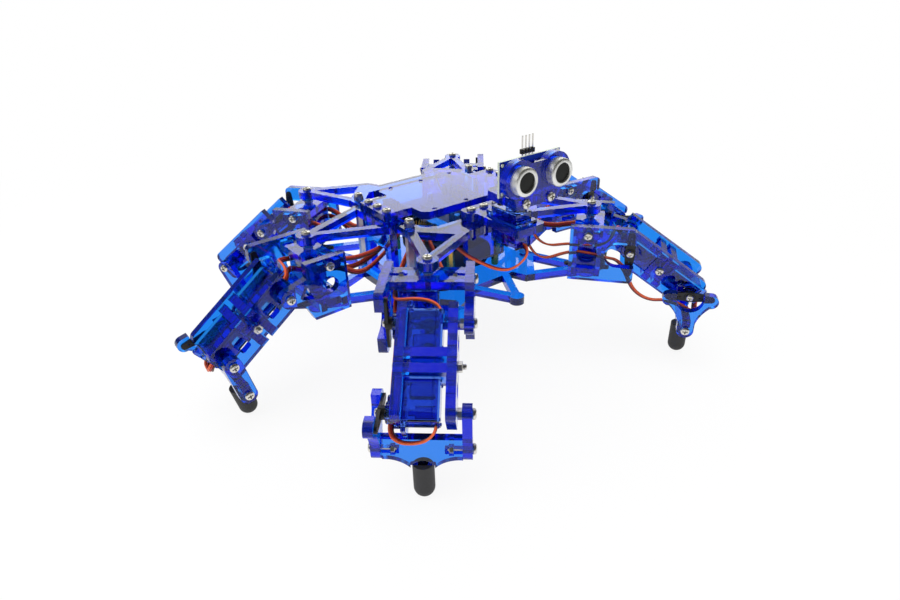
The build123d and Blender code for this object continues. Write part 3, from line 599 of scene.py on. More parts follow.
# Pan head with a cross recess, underside at z = 0, looking up +Z
def panHead(radius, height):
    profile = [(0, 0), (radius * 0.96, 0), (radius, height * 0.1), (radius, height * 0.42)]
    for step in range(1, 5):
        turn = radians(90 * step / 5)
        profile.append((radius * (0.45 + 0.55 * cos(turn)), height * (0.42 + 0.58 * sin(turn))))
    head = turned(profile + [(radius * 0.45, height), (0, height)], 24)
    arm, thin = radius * 0.60, radius * 0.15
    cross = [(arm, thin), (thin, thin), (thin, arm), (-thin, arm), (-thin, thin), (-arm, thin),
             (-arm, -thin), (-thin, -thin), (-thin, -arm), (thin, -arm), (thin, -thin), (arm, -thin)]
    return cutOut(head, prism(cross, height * 0.22, height))


# The thread is drawn as rings: a shank from z = 0 down to -length
def threaded(radius, length, pitch):
    root = radius * 0.84
    profile = [(0, 0), (root, 0)]
    for n in range(int(length / pitch) - 1):
        z = -pitch * (n + 0.5)
        profile += [(root, z), (radius, z - pitch * 0.4), (radius, z - pitch * 0.6)]
    profile += [(root, -length + pitch * 0.5), (root * 0.7, -length), (0, -length)]
    return turned(profile, 12)


def hexNut(radius, height, bore):
    nut = prism(ringOf([radius] * 6, pi / 6), 0, height)
    bevelled(nut, edgesAcross(nut, 2), height * 0.09)
    return cutOut(nut, peg(bore, -height, 2 * height, 20))


screwHead = panHead(fastener["head"], fastener["headHigh"])
hornHead = panHead(fastener["hornHead"], fastener["hornHeadHigh"])
nutShape = hexNut(fastener["nut"], fastener["nutHigh"], fastener["bore"])


def addScrew(bm, place, length):
    addShape(bm, screwHead, place)
    addShape(bm, threaded(fastener["shank"], length, fastener["pitch"]), place)


def addNut(bm, place):
    addShape(bm, nutShape, place)


# The flats are how far above the horn's foot the outer face of its arms lies
horn = {"hub": 0.0035, "height": 0.0040, "low": 0.0083, "arm": 0.0150, "tip": 0.0020, "thick": 0.0016,
        "jointFlat": 0.0037, "hipFlat": 0.0017, "holes": 3, "holeStep": 0.0024, "hole": 0.0005,
        "shaft": 0.0024, "shaftLow": 0.0052, "shaftLong": 0.0058, "teeth": 20, "well": 0.0022, "bore": 0.0010}


# Servo horn, shaft on Z above a servo's ears, both arms along X
def hornShape(flat):
    low, top = horn["low"], horn["low"] + horn["height"]
    reach = horn["arm"] - horn["tip"]
    end = []
    for n in range(9):
        turn = radians(-90 + 180 * n / 8)
        end.append((reach + horn["tip"] * cos(turn), horn["tip"] * sin(turn)))
    wide = horn["hub"] * 0.95
    outline = end + [(0, wide)] + [(-x, -y) for x, y in end] + [(0, -wide)]
    arms = prism(outline, low + flat - horn["thick"], horn["thick"])
    for side in (1, -1):
        for n in range(1, horn["holes"] + 1):
            drill = peg(horn["hole"], low - 0.001, top + 0.001, 12)
            arms = cutOut(arms, moved(drill, side * (horn["hub"] + horn["holeStep"] * n)))
    hub = turned([(horn["shaft"], low), (horn["hub"] - 0.0002, low), (horn["hub"], low + 0.0002),
                  (horn["hub"], top - 0.0003), (horn["hub"] - 0.0003, top), (horn["well"], top),
                  (horn["well"], top - 0.0006), (horn["bore"], top - 0.0006), (horn["bore"], low + 0.0020),
                  (horn["shaft"], low + 0.0020), (horn["shaft"], low)], 28)
    whole = bmesh.new()
    addShape(whole, arms)
    addShape(whole, hub)
    return whole


# The splined output shaft under the horn
def shaftShape():
    sizes = [horn["shaft"] * (0.985 if n % 2 else 0.90) for n in range(2 * horn["teeth"])]
    return prism(ringOf(sizes), horn["shaftLow"], horn["shaftLong"])


jointHorn = hornShape(horn["jointFlat"])
hipHorn = hornShape(horn["hipFlat"])
headHorn = hornShape(horn["height"])
shaft = shaftShape()
print("fasteners and horns modelled")


def addHorn(metal, black, shafts, arms, place):
    addShape(black, arms, place)
    addShape(shafts, shaft, place)
    addShape(metal, hornHead, place @ shift(z=horn["low"] + horn["height"]))


def addChip(bm, place, long, wide, high, legsEach, slots):
    case = cuboid(long, wide, high)
    bevelled(case, case.edges[:], high * 0.12)
    addShape(bm, case, place @ shift(z=high / 2 + 0.0001), slots[0])
    step = long / (legsEach + 0.5)
    foot = cuboid(step * 0.4, wide * 0.2, high * 0.4)
    for n in range(legsEach):
        x = (n - (legsEach - 1) / 2) * step
        for side in (-1, 1):
            addShape(bm, foot, place @ shift(x, side * wide * 0.56, high * 0.2), slots[1])


def boardSheet(long, wide, thick, holes, radius):
    sheet = cuboid(long, wide, thick)
    for x, y in holes:
        sheet = cutOut(sheet, moved(peg(radius, -thick, thick, 16), x, y))
    return sheet


# ---------- where the legs are: places read from the joints, X along the link, Y across, Z up
def placeFrom(origin, along, across):
    turn = Matrix((along, across, along.cross(across))).transposed().to_4x4()
    return Matrix.Translation(origin) @ turn


def legPlacesFor(name):
    hip, knee, ankle = [Vector(joints[name + end]["pos_m"]) for end in ("_hip", "_knee", "_ankle")]
    across = Vector(joints[name + "_knee"]["axis"]).normalized()
    outward = across.cross(Vector((0, 0, 1))).normalized()
    thigh = (ankle - knee).normalized()
    fold = -joints[name + "_ankle"]["range_deg"][0]
    shin = Matrix.Rotation(radians(fold), 3, across) @ thigh
    return {
        "hip": placeFrom(hip, outward, across),
        "kneeOnCoxa": placeFrom(knee, outward, across),
        "knee": placeFrom(knee, thigh, across),
        "ankle": placeFrom(ankle, shin, across),
    }


legPlaces = {name: legPlacesFor(name) for name in legNames}

# Distances across a leg from its middle, and along it, as the plates have them
leg = {"servoFace": 0.0085, "clampIn": 0.0205, "clampOut": 0.0255, "driveOut": 0.0135, "idleIn": 0.0128,
       "idleOut": 0.0178, "teeNut": 0.0160, "roofMid": 0.0119, "footScrew": 0.0218, "middle": 0.0240,
       "boltPast": 0.0045, "boltShort": 0.0003, "servoBase": 0.0345, "sheet": 0.0050}

toLeft = turnAbout("X", -90)       # turns +Z to +Y
toRight = turnAbout("X", 90)       # turns +Z to -Y
turnedOver = turnAbout("X", 180)


# Where the servo beside a leg's joint has its shaft
def besideLeg(place):
    return place @ shift(y=-leg["servoFace"]) @ toRight


def addPivotBolt(bm, place):
    addScrew(bm, place @ shift(y=leg["clampOut"]) @ toLeft, leg["clampOut"] - leg["idleIn"] - leg["boltShort"])
    addNut(bm, place @ shift(y=leg["clampIn"]) @ toRight)


def addTeeJoint(bm, place, x, z):
    for side, outward, inward in ((-1, toRight, toLeft), (1, toLeft, toRight)):
        addScrew(bm, place @ shift(x, side * leg["clampOut"], z) @ outward, leg["sheet"] + fastener["inTee"])
        addNut(bm, place @ shift(x, side * leg["teeNut"], z) @ inward)


def addForkHardware(bodyName, pivot, tee, x, z, node):
    metal, black, shafts = bmesh.new(), bmesh.new(), bmesh.new()
    addPivotBolt(metal, pivot)
    addTeeJoint(metal, tee, x, z)
    addHorn(metal, black, shafts, jointHorn, besideLeg(pivot) @ turnAbout("Z", 90))
    addPiece(f"{bodyName}_screws", metal, "nickel", bodyName, "screw_steel")
    addPiece(f"{bodyName}_horn", black, "nylon", bodyName, node=node)
    addPiece(f"{bodyName}_shaft", shafts, "brass", bodyName)


def addThighScrew(bodyName, knee):
    metal = bmesh.new()
    length = leg["driveOut"] + leg["idleOut"] + leg["boltPast"]
    addScrew(metal, knee @ shift(leg["middle"], -leg["driveOut"]) @ toRight, length)
    addNut(metal, knee @ shift(leg["middle"], leg["idleOut"]) @ toLeft)
    addPiece(f"{bodyName}_screws", metal, "nickel", bodyName, "screw_steel")


for name in legNames:
    hip, knee, ankle = [legPlaces[name][end] for end in ("hip", "kneeOnCoxa", "ankle")]
    addForkHardware(f"{name}_coxa", knee, hip, 0, -leg["roofMid"], f"{name}_knee_hardware")
    addThighScrew(f"{name}_thigh", legPlaces[name]["knee"])
    addForkHardware(f"{name}_foot", ankle, ankle, leg["footScrew"], 0, f"{name}_ankle_hardware")
print("leg screws, nuts, horns and shafts placed")


# ---------- body hardware: posts, spacers, rows of screws and the hip pivots
hips = [Vector(joints[name + "_hip"]["pos_m"]) for name in legNames]
middle = Vector((sum(h.x for h in hips) / len(hips), sum(h.y for h in hips) / len(hips), hips[0].z))
deckPlace = Matrix.Translation(middle)

body = {"sheet": 0.005, "postX": 0.031, "postY": 0.0475, "postWide": 0.0055, "postScrew": 0.010,
        "spacerHigh": 0.0035, "belly": 0.0445, "sideRowY": 0.051, "frontRowX": 0.044, "frontStep": 0.010,
        "sideStep": 0.011, "hipSpacer": 0.0019, "hipBolt": 0.0149, "ring": 0.0045, "ringEdge": 0.0002}


def hexRod(wide, z, height):
    rod = prism(ringOf([wide / 2 / cos(pi / 6)] * 6), z, height)
    return bevelled(rod, edgesAcross(rod, 2), 0.0003)


def addBodyHardware():
    metal, posts = bmesh.new(), bmesh.new()
    rows = [(n * body["sideStep"], side * body["sideRowY"]) for side in (-1, 1) for n in (-1, 0, 1)]
    rows += [(body["frontRowX"], n * body["frontStep"]) for n in (-1, 0, 1)]
    for x, y in rows:
        addScrew(metal, deckPlace @ shift(x, y, body["sheet"]), 2 * body["sheet"] + fastener["inTee"])
    spacer = hexRod(body["postWide"], 0, body["spacerHigh"])
    post = hexRod(body["postWide"], -body["belly"], body["belly"] - body["sheet"])
    for x, y in cornersOf(body["postX"], body["postY"]):
        at = deckPlace @ shift(x, y)
        addScrew(metal, at @ shift(z=body["spacerHigh"]), body["spacerHigh"] + body["postScrew"])
        addScrew(metal, at @ shift(z=-body["belly"] - body["sheet"]) @ turnedOver, body["postScrew"])
        addShape(posts, spacer, at)
        addShape(posts, post, at)
    addPiece("body_screws", metal, "nickel", "body", "screw_steel", "body_fasteners")
    addPiece("body_posts", posts, "nickel", "body")


def addHipPivots():
    metal, black, shafts, spacers = bmesh.new(), bmesh.new(), bmesh.new(), bmesh.new()
    bore, wide, edge = fastener["bore"], body["ring"], body["ringEdge"]
    top = -body["sheet"]
    low = top - body["hipSpacer"]
    ring = turned([(bore, low), (wide - edge, low), (wide, low + edge), (wide, top - edge), (wide - edge, top),
                   (bore, top), (bore, low)], 28)
    for name in legNames:
        place = legPlaces[name]["hip"]
        addScrew(metal, place, body["hipBolt"])
        addNut(metal, place @ shift(z=low - fastener["nutHigh"]))
        addShape(spacers, ring, place)
        addHorn(metal, black, shafts, hipHorn, place @ shift(z=-leg["servoBase"]) @ turnedOver)
    addPiece("hip_screws", metal, "nickel", "body", "screw_steel", "hip_pivots")
    addPiece("hip_horns", black, "nylon", "body")
    addPiece("hip_shafts", shafts, "brass", "body")
    addPiece("hip_spacers", spacers, "acrylic", "body")


addBodyHardware()
addHipPivots()
print("body fasteners and hip pivots placed")


# ---------- head: the horn under its base plate, and the screws and nuts that hold the upright plate
head = {"front": 0.0914, "screwY": 0.0094, "nutIn": 0.0045, "servoUp": 0.0025}
headPivot = Vector(joints["head_pan"]["pos_m"])
headEars = middle.z + body["sheet"] + head["servoUp"]
headServoPlace = shift(headPivot.x, headPivot.y, headEars) @ turnAbout("Z", 180)
headBase = headEars + horn["low"] + horn["height"]


def addHeadHardware():
    metal, black, shafts = bmesh.new(), bmesh.new(), bmesh.new()
    addHorn(metal, black, shafts, headHorn, headServoPlace @ turnAbout("Z", -90))
    toFront = turnAbout("Y", 90)
    back = middle.x + head["front"] - body["sheet"]
    z = headBase + body["sheet"] / 2
    for side in (-1, 1):
        y = middle.y + side * head["screwY"]
        addScrew(metal, shift(back + body["sheet"], y, z) @ toFront, body["sheet"] + fastener["inTee"])
        addNut(metal, shift(back - head["nutIn"] - fastener["nutHigh"], y, z) @ toFront @ turnAbout("Z", 30))
    addPiece("head_screws", metal, "nickel", "head", "screw_steel")
    addPiece("head_horn", black, "nylon", "head")
    addPiece("head_shaft", shafts, "brass", "head")


addHeadHardware()
print("head hardware placed")


# ---------- acrylic sheets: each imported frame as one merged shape, without its plain screws and nuts
sheet = {"fastener": 0.0065, "shrink": 0.00001, "weld": 0.000002, "smooth": 25}


def islandsOf(bm):
    left = set(bm.verts)
    while left:
        group, grown = set(), [left.pop()]
        while grown:
            vert = grown.pop()
            group.add(vert)
            for other in (edge.other_vert(vert) for edge in vert.link_edges):
                if other in left:
                    left.remove(other)
                    grown.append(other)
        yield group


def isFastener(low, high):
    return sorted(high - low)[1] < sheet["fastener"]


def isHeadHardware(low, high):
    return high.z < headBase + 0.0001 or isFastener(low, high)


# Faces across the sheet's thickness are marked as cut edges, which the laser leaves duller
def addSheets(node, place, bodyName, leaveOut=isFastener):
    bm = bmesh.new()
    bm.from_mesh(frame["nodes"][node].data)
    bmesh.ops.remove_doubles(bm, verts=bm.verts[:], dist=sheet["weld"])
    cutEdge = bm.faces.layers.float.new("cutEdge")
    back = place.inverted()
    loose = []
    for group in islandsOf(bm):
        points = [back @ vert.co for vert in group]
        low = Vector(min(p[i] for p in points) for i in range(3))
        high = Vector(max(p[i] for p in points) for i in range(3))
        if leaveOut(low, high):
            loose += group
            continue
        size = high - low
        across = place.to_3x3() @ Vector(1.0 if side == min(size) else 0.0 for side in size)
        for face in {face for vert in group for face in vert.link_faces}:
            face[cutEdge] = 0.0 if abs(face.normal.dot(across)) > 0.9 else 1.0
    bmesh.ops.delete(bm, geom=loose, context="VERTS")
    bm.normal_update()
    for vert in bm.verts:
        vert.co -= vert.normal * sheet["shrink"]
    name = node.replace("_frame", "") + "_sheets"
    addPiece(name, bm, "acrylic", bodyName, "blue_acrylic", node, sheet["smooth"])


for node in ("top_plate", "lid_plate", "bottom_plate", "body_walls"):
    addSheets(node, Matrix.Identity(4), "body")
for name in legNames:
    for part, end in (("coxa", "hip"), ("thigh", "knee"), ("foot", "ankle")):
        addSheets(f"{name}_{part}_frame", legPlaces[name][end], f"{name}_{part}")
addSheets("head_frame", Matrix.Identity(4), "head", isHeadHardware)
print("acrylic sheets placed")


# ---------- micro servos: a clear tinted case in three parts over motor, gears and board. The ears' face is
# at z = 0 and the shaft on Z
servo = {"long": 0.0228, "wide": 0.0122, "under": 0.0184, "over": 0.0041, "shaftIn": 0.0059, "earLong": 0.0322,
         "ear": 0.0025, "earHole": 0.0010, "earHoleIn": 0.0023, "boss": 0.0056, "bossHigh": 0.0040,
         "bossBore": 0.0025, "bossDeep": 0.0035, "lid": 0.0040, "cap": 0.0028, "wall": 0.0011, "seam": 0.00018,
         "motor": 0.0044, "pot": 0.0034, "screwIn": 0.0016}
servoFinishes = ["case", "nickel", "nylon", "steel", "chipBlack", "greenBoard", "whiteNylon", "chipBlack"]
# Each gear's place along the servo, radius, bottom, top, teeth and whether it is white
gears = ((0.0, 0.0040, -0.0016, -0.0002, 24, True), (0.0058, 0.0044, 0.0002, 0.0010, 28, False),
         (0.0058, 0.0018, -0.0018, 0.0001, 12, False), (0.0113, 0.0037, -0.0012, 0.0, 22, False),
         (0.0113, 0.0015, 0.0001, 0.0016, 10, True), (0.0, 0.0030, 0.0, 0.0022, 20, False))


def roundBox(long, wide, low, high, corner, rim):
    box = standing(long, wide, low, high)
    bevelled(box, edgesAlong(box, 2), corner, 3)
    return bevelled(box, edgesAcross(box, 2), rim)


def grooved(box, long, wide, heights):
    for z in heights:
        for level in (z - servo["seam"], z, z + servo["seam"]):
            bisected(box, (0, 0, level), (0, 0, 1))
        for vert in [v for v in box.verts if abs(v.co.z - z) < 1e-6]:
            vert.co.x *= 1 - 2 * servo["seam"] / long
            vert.co.y *= 1 - 2 * servo["seam"] / wide
    return box


def gearWheel(radius, low, high, teeth):
    return prism(ringOf([radius if n % 2 else radius - 0.0005 for n in range(2 * teeth)]), low, high - low)


def caseShape():
    middleX = servo["long"] / 2 - servo["shaftIn"]
    low, high, long, wide = -servo["under"], servo["over"], servo["long"], servo["wide"]
    case = grooved(roundBox(long, wide, low, high, 0.0008, 0.00025), long, wide,
                   (low + servo["lid"], high - servo["cap"]))
    ears = roundBox(servo["earLong"], wide - 0.0004, -servo["ear"], 0, 0.0006, 0.0002)
    for side in (-1, 1):
        x = side * (servo["earLong"] / 2 - servo["earHoleIn"])
        ears = cutOut(ears, moved(peg(servo["earHole"], -0.004, 0.001, 16), x))
        ears = cutOut(ears, moved(cuboid(0.004, 0.0010, 0.008), x + side * 0.0022))
    case = cutOut(moved(case, middleX), moved(ears, middleX), "UNION")
    top, r = high + servo["bossHigh"], servo["boss"]
    boss = turned([(0, high - 0.001), (r, high - 0.001), (r, top - 0.0003), (r - 0.0003, top), (0, top)], 36)
    gear = turned([(0, high - 0.0008), (r / 2, high - 0.0008), (r / 2, top - 0.0007),
                   (r / 2 - 0.0003, top - 0.0004), (0, top - 0.0004)], 24)
    case = cutOut(cutOut(case, boss, "UNION"), moved(gear, r + 0.0006), "UNION")
    return cutOut(case, peg(servo["bossBore"], top - servo["bossDeep"], top + 0.001, 28))


def servoShape():
    metal, rubber, steel, black, green, white, dark = range(1, len(servoFinishes))
    whole = bmesh.new()
    at = shift(servo["long"] / 2 - servo["shaftIn"])
    low, high, wall = -servo["under"], servo["over"], servo["wall"]
    roomLong, roomWide = servo["long"] - 2 * wall, servo["wide"] - 2 * wall
    addShape(whole, caseShape())
    room = roundBox(roomLong, roomWide, low + wall, high - wall, 0.0004, 0.0002)
    bmesh.ops.reverse_faces(room, faces=room.faces[:])
    addShape(whole, room, at)
    floor = low + wall + 0.0002
    motor, pot = servo["motor"], servo["pot"]
    can = turned([(0, floor + 0.0012), (motor - 0.0004, floor + 0.0012), (motor, floor + 0.0016),
                  (motor, -0.0034), (motor - 0.0004, -0.0030), (0.0012, -0.0030), (0.0012, -0.0022),
                  (0, -0.0022)], 28)
    addShape(whole, can, shift(servo["long"] - servo["shaftIn"] - wall - motor - 0.0003), steel)
    drum = turned([(0, floor + 0.0012), (pot, floor + 0.0012), (pot, -0.0062), (0.0016, -0.0062),
                   (0.0016, -0.0028), (0, -0.0028)], 24)
    addShape(whole, drum, slot=black)
    addShape(whole, cuboid(roomLong - 0.0012, roomWide - 0.0010, 0.0008), at @ shift(z=floor + 0.0005), green)
    addShape(whole, cuboid(0.0040, 0.0026, 0.0012), shift(0.0052, 0, floor + 0.0016), black)
    for x, radius, bottom, top, teeth, isWhite in gears:
        addShape(whole, gearWheel(radius, bottom, top, teeth), shift(x), white if isWhite else dark)
    caseScrew = panHead(0.0009, 0.0005)
    for x, y in cornersOf(servo["long"] / 2 - servo["screwIn"], servo["wide"] / 2 - servo["screwIn"]):
        addShape(whole, caseScrew, at @ shift(x, y, low) @ turnedOver, metal)
    grommet = roundBox(0.0012, 0.0046, low + 0.0006, low + 0.0026, 0.0004, 0.0002)
    addShape(whole, grommet, shift(-servo["shaftIn"] - 0.0005), rubber)
    return whole


servoMaster = servoShape()


def addServos(name, places, bodyName, node):
    bm = bmesh.new()
    for place in places:
        addShape(bm, servoMaster, place)
    addPiece(name, bm, servoFinishes, bodyName, "servo_blue", node)


for name in legNames:
    hip, knee = legPlaces[name]["hip"], legPlaces[name]["knee"]
    thighLong = (legPlaces[name]["ankle"].translation - knee.translation).length
    ankle = knee @ shift(thighLong) @ turnAbout("Y", 180)
    addServos(f"{name}_thigh_servo_cases", [besideLeg(knee), besideLeg(ankle)], f"{name}_thigh",
              f"{name}_thigh_servos")
    underHip = hip @ shift(z=-leg["servoBase"]) @ turnedOver @ turnAbout("Z", 90)
    addServos(f"{name}_hip_servo_case", [underHip], f"{name}_coxa", f"{name}_hip_servo")
addServos("head_servo_case", [headServoPlace], "body", "head_servo")
print("servos placed")


# ---------- range sensor: board, two cans with gauze, header and small parts
sensor = {"boardWide": 0.045, "boardHigh": 0.020, "board": 0.0016, "canRadius": 0.008, "canLong": 0.0124,
          "eyeApart": 0.0264, "mouth": 0.0055, "gauzeDeep": 0.0012, "cornerIn": 0.002, "cornerHole": 0.0010,
          "pad": 0.0019, "padHigh": 0.00006, "pitch": 0.00254, "pin": 0.00064, "plug": 0.0025}


# The boards carry parts on faces that are given as places: X and Y along the face, Z out of it
def addSensorBoard(face):
    tin, black, tan = 2, 3, 4
    thick, hole, pad, padHigh = sensor["board"], sensor["cornerHole"], sensor["pad"], sensor["padHigh"]
    wide, high = sensor["boardWide"], sensor["boardHigh"]
    corners = cornersOf(wide / 2 - sensor["cornerIn"], high / 2 - sensor["cornerIn"])
    board = bmesh.new()
    bare = boardSheet(wide, high, thick, corners, hole)
    addShape(board, bare, face @ shift(z=-thick / 2))
    board.normal_update()
    for one in board.faces:
        one.material_index = 0 if abs(one.normal.x) > 0.9 else 1
    ring = turned([(hole, 0), (pad, 0), (pad, padHigh), (hole, padHigh), (hole, 0)], 20)
    for x, y in corners:
        addShape(board, ring, face @ shift(x, y), tin)
        addShape(board, ring, face @ shift(x, y, -thick) @ turnedOver, tin)
    back = face @ shift(z=-thick) @ turnedOver
    for x, y, long, legsEach in ((-0.0125, 0.001, 0.0087, 7), (0.0, -0.0015, 0.0050, 4),
                                 (0.0115, 0.001, 0.0087, 7)):
        addChip(board, back @ shift(x, y), long, 0.0040, 0.0014, legsEach, (black, tin))
    for x, y in ((-0.004, 0.0062), (0.0045, 0.0062), (-0.0185, -0.0005), (0.019, -0.0005), (0.006, -0.0065),
                 (-0.0065, -0.0065)):
        addChip(board, back @ shift(x, y), 0.0016, 0.0008, 0.0005, 1, (tan, tin))
    crystal = cuboid(0.0080, 0.0032, 0.0017)
    bevelled(crystal, edgesAlong(crystal, 2), 0.0014, 5)
    addShape(board, crystal, face @ shift(0, 0.0052, 0.00095), tin)
    addPiece("sensor_board", board, ["blueMask", "fibreglass", "tin", "chipBlack", "ceramic"], "head")


def addSensorCans(face):
    cans, gauze = bmesh.new(), bmesh.new()
    r, mouth, long = sensor["canRadius"], sensor["mouth"], sensor["canLong"]
    can = turned([(0, 0.0002), (r - 0.0004, 0.0002), (r - 0.0004, 0.0012), (r, 0.0014), (r, long - 0.0012),
                  (r - 0.0003, long - 0.0004), (r - 0.0009, long), (mouth + 0.0004, long),
                  (mouth, long - 0.0004), (mouth, long - 0.004), (0, long - 0.004)], 48)
    deep = long - sensor["gauzeDeep"]
    mesh = turned([(0, deep + 0.0002), (mouth * 0.5, deep + 0.00014), (mouth * 0.98, deep),
                   (mouth * 0.98, deep - 0.0003), (0, deep - 0.0003)], 32)
    for side in (-1, 1):
        place = face @ shift(side * sensor["eyeApart"] / 2)
        addShape(cans, can, place)
        addShape(gauze, mesh, place)
    addPiece("sensor_cans", cans, "aluminium", "head", "sensor_silver", "range_sensor", 40)
    addPiece("sensor_gauze", gauze, "gauze", "head")


def addSensorPlug(face):
    plug, pins = bmesh.new(), bmesh.new()
    pitch, size, thick = sensor["pitch"], sensor["plug"], sensor["pin"]
    top = sensor["boardHigh"] / 2
    behind = -sensor["board"] - size / 2
    cell = cuboid(pitch * 0.98, size, size)
    bevelled(cell, edgesAcross(cell, 0), 0.0005)
    pin = cuboid(thick, 0.0145, thick)
    bevelled(pin, [e for e in pin.edges if min(e.verts[0].co.y, e.verts[1].co.y) > 0.005], thick * 0.25)
    bend = cuboid(thick, thick, 0.0022)
    for n in range(4):
        x = (n - 1.5) * pitch
        addShape(plug, cell, face @ shift(x, top + 0.0006 + size / 2, behind))
        addShape(pins, pin, face @ shift(x, top + 0.00325, behind))
        addShape(pins, bend, face @ shift(x, top - 0.00368, behind + 0.0008))
    addPiece("sensor_plug", plug, "nylon", "head")
    addPiece("sensor_pins", pins, "nickel", "head")


def addSensor():
    low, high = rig.box("range_sensor")
    place = shift(high.x - sensor["canLong"], (low.y + high.y) / 2, low.z + sensor["boardHigh"] / 2)
    face = place @ turnAbout("Y", 90) @ turnAbout("Z", 90)
    addSensorBoard(face)
    addSensorCans(face)
    addSensorPlug(face)


addSensor()
print("range sensor placed")


# ---------- servo leads: three wires side by side from each servo to the controller's pins. Each is split
# in the coxa, so that each part bends across one joint
lead = {"wire": 0.00064, "apart": 0.00120, "sides": 8, "smooth": 60}


# Every place in these routes is in millimetres. A route's first points are on its leg's link, the ones in
# the coxa are on the hip, and the others are on the deck
def placed(place, points):
    return [place @ Vector([value / 1000 for value in point]) for point in points]


ankleLead = [(53.9, 8, 0), (57.5, 8, 0), (60.5, 3, -5), (61, -4, -8),
             (60.5, -10.5, -8.2), (56.5, -15.3, -9), (49, -15.3, -9),
             (38, -15.3, -8.5), (24, -15.3, -7.8), (9, -15.3, -8.5),
             (-2, -15.6, -9.5)]
# The front left one has slid out of place and hangs in a bight under its thigh
looseAnkleLead = ankleLead[:7] + [(40.5, -15.2, -12), (32, -15, -20), (19, -15, -20.5),
                                  (8, -15.3, -13), (-2, -15.6, -9.5)]
ankleLeadInCoxa = [(12, -17.6, -29.5), (4, -18.7, -27), (-10, -18.7, -25.5)]
kneeLead = [(-5.9, 8, 0), (-9, 8, 0)]
kneeLeadInCoxa = [(17, 3, -16.5), (15.5, -5, -16), (13, -16.4, -18.5),
                  (4, -18.7, -21), (-10, -18.7, -20.5)]
hipLead = [(0, 5.9, -18), (0, 10, -18), (-4.5, 13.5, -18.5), (-12, 13.5, -20)]
headLead = [(80.9, 0, -9), (84.5, 0, -9), (88.5, -4.5, -13.5), (83, -11, -21),
            (74, -15, -22.5), (64, -17.5, -21.5), (53, -22, -18.5),
            (42, -25.5, -11), (34, -25.5, -11)]
nearPost = ([(40, -64, -38), (24, -53, -32), (22, -42, -18)],
            [(50, -57, -30), (38, -43, -19)],
            [(57, -41, -25), (42, -37, -17)])
pastPost = ([(58, -37, -39), (42, -37, -26)],
            [(56, -41, -30), (38, -43, -18)],
            [(42, -62, -25), (25, -52, -22), (22, -42, -16)])
inMiddle = ([(-11, -71, -38), (-5, -51, -28), (-5, -42, -19)],
            [(-12, -72, -31), (-1.5, -51, -25), (-1.5, -42, -18)],
            [(9, -72, -33), (4, -51, -26), (4, -42, -18)])
# How each leg's leads hang: the route, its turn along X and Y, and where along the board they are plugged in
hanging = {
    "front_right": (nearPost, 1, 1, (22, 26.5, 30)),
    "mid_right": (inMiddle, 1, 1, (-5, -1.5, 4)),
    "rear_right": (pastPost, -1, 1, (30, 26.5, 22)),
    "front_left": (pastPost, 1, -1, (30, 26.5, 22)),
    "mid_left": (inMiddle, -1, -1, (-5, -1.5, 4)),
    "rear_left": (nearPost, -1, -1, (22, 26.5, 30)),
}
# Where the leads end on the board, and how far they run straight into their plugs: further at the middle one
plugEnd = {"y": -29.3, "z": -11, "straight": 5, "middleX": 26.5, "middleStraight": 7.7}
# Where a lead is split in the coxa, and where each bend at a joint starts and ends
leadSplit = (-2, -18.7, -24)
bends = {
    "ankle": [(4, -15, -9), (9, -18, -28)],
    "knee": [(-8, 8, 0), (15, -10, -17)],
    "hip": [(0, 13.5, -19), (-20, 13.5, -19)],
    "overHip": [(4, -18.7, -24), (-22, -18.7, -24)],
}

# ---------- controller board on its feet, with rows of pins for the leads, and the battery pack under it
control = {"long": 0.072, "wide": 0.060, "low": -0.017, "thick": 0.0016, "pitch": 0.00254, "rowY": 0.0255,
           "rowPins": 24, "pin": 0.00064, "pinTop": 0.0078, "plugTop": 0.0080, "stripTop": 0.0026,
           "holeX": 0.033, "holeY": 0.0285, "hole": 0.0012, "footX": 0.033, "footY": 0.019, "foot": 0.0025,
           "belly": 0.0445}
# Where the chips stand, their length, width, height and legs to a side
chips = ((-0.013, 0, 0.014, 0.012, 0.0018, 11), (-0.013, 0.015, 0.0090, 0.0042, 0.0014, 7),
         (0.006, 0.012, 0.0050, 0.0040, 0.0014, 4))
capacitors = ((0.006, 0.003), (0.012, 0.003), (-0.027, 0.008))
smallParts = ((0.0, -0.006), (0.003, -0.006), (0.006, -0.006), (-0.025, -0.008), (-0.025, -0.011), (0.02, 0.01),
              (0.023, 0.01), (0.026, 0.01), (-0.001, 0.017), (0.012, 0.016))


def squareBlock(long, wide, low, high, chamfer):
    block = standing(long, wide, low, high)
    return bevelled(block, block.edges[:], chamfer)


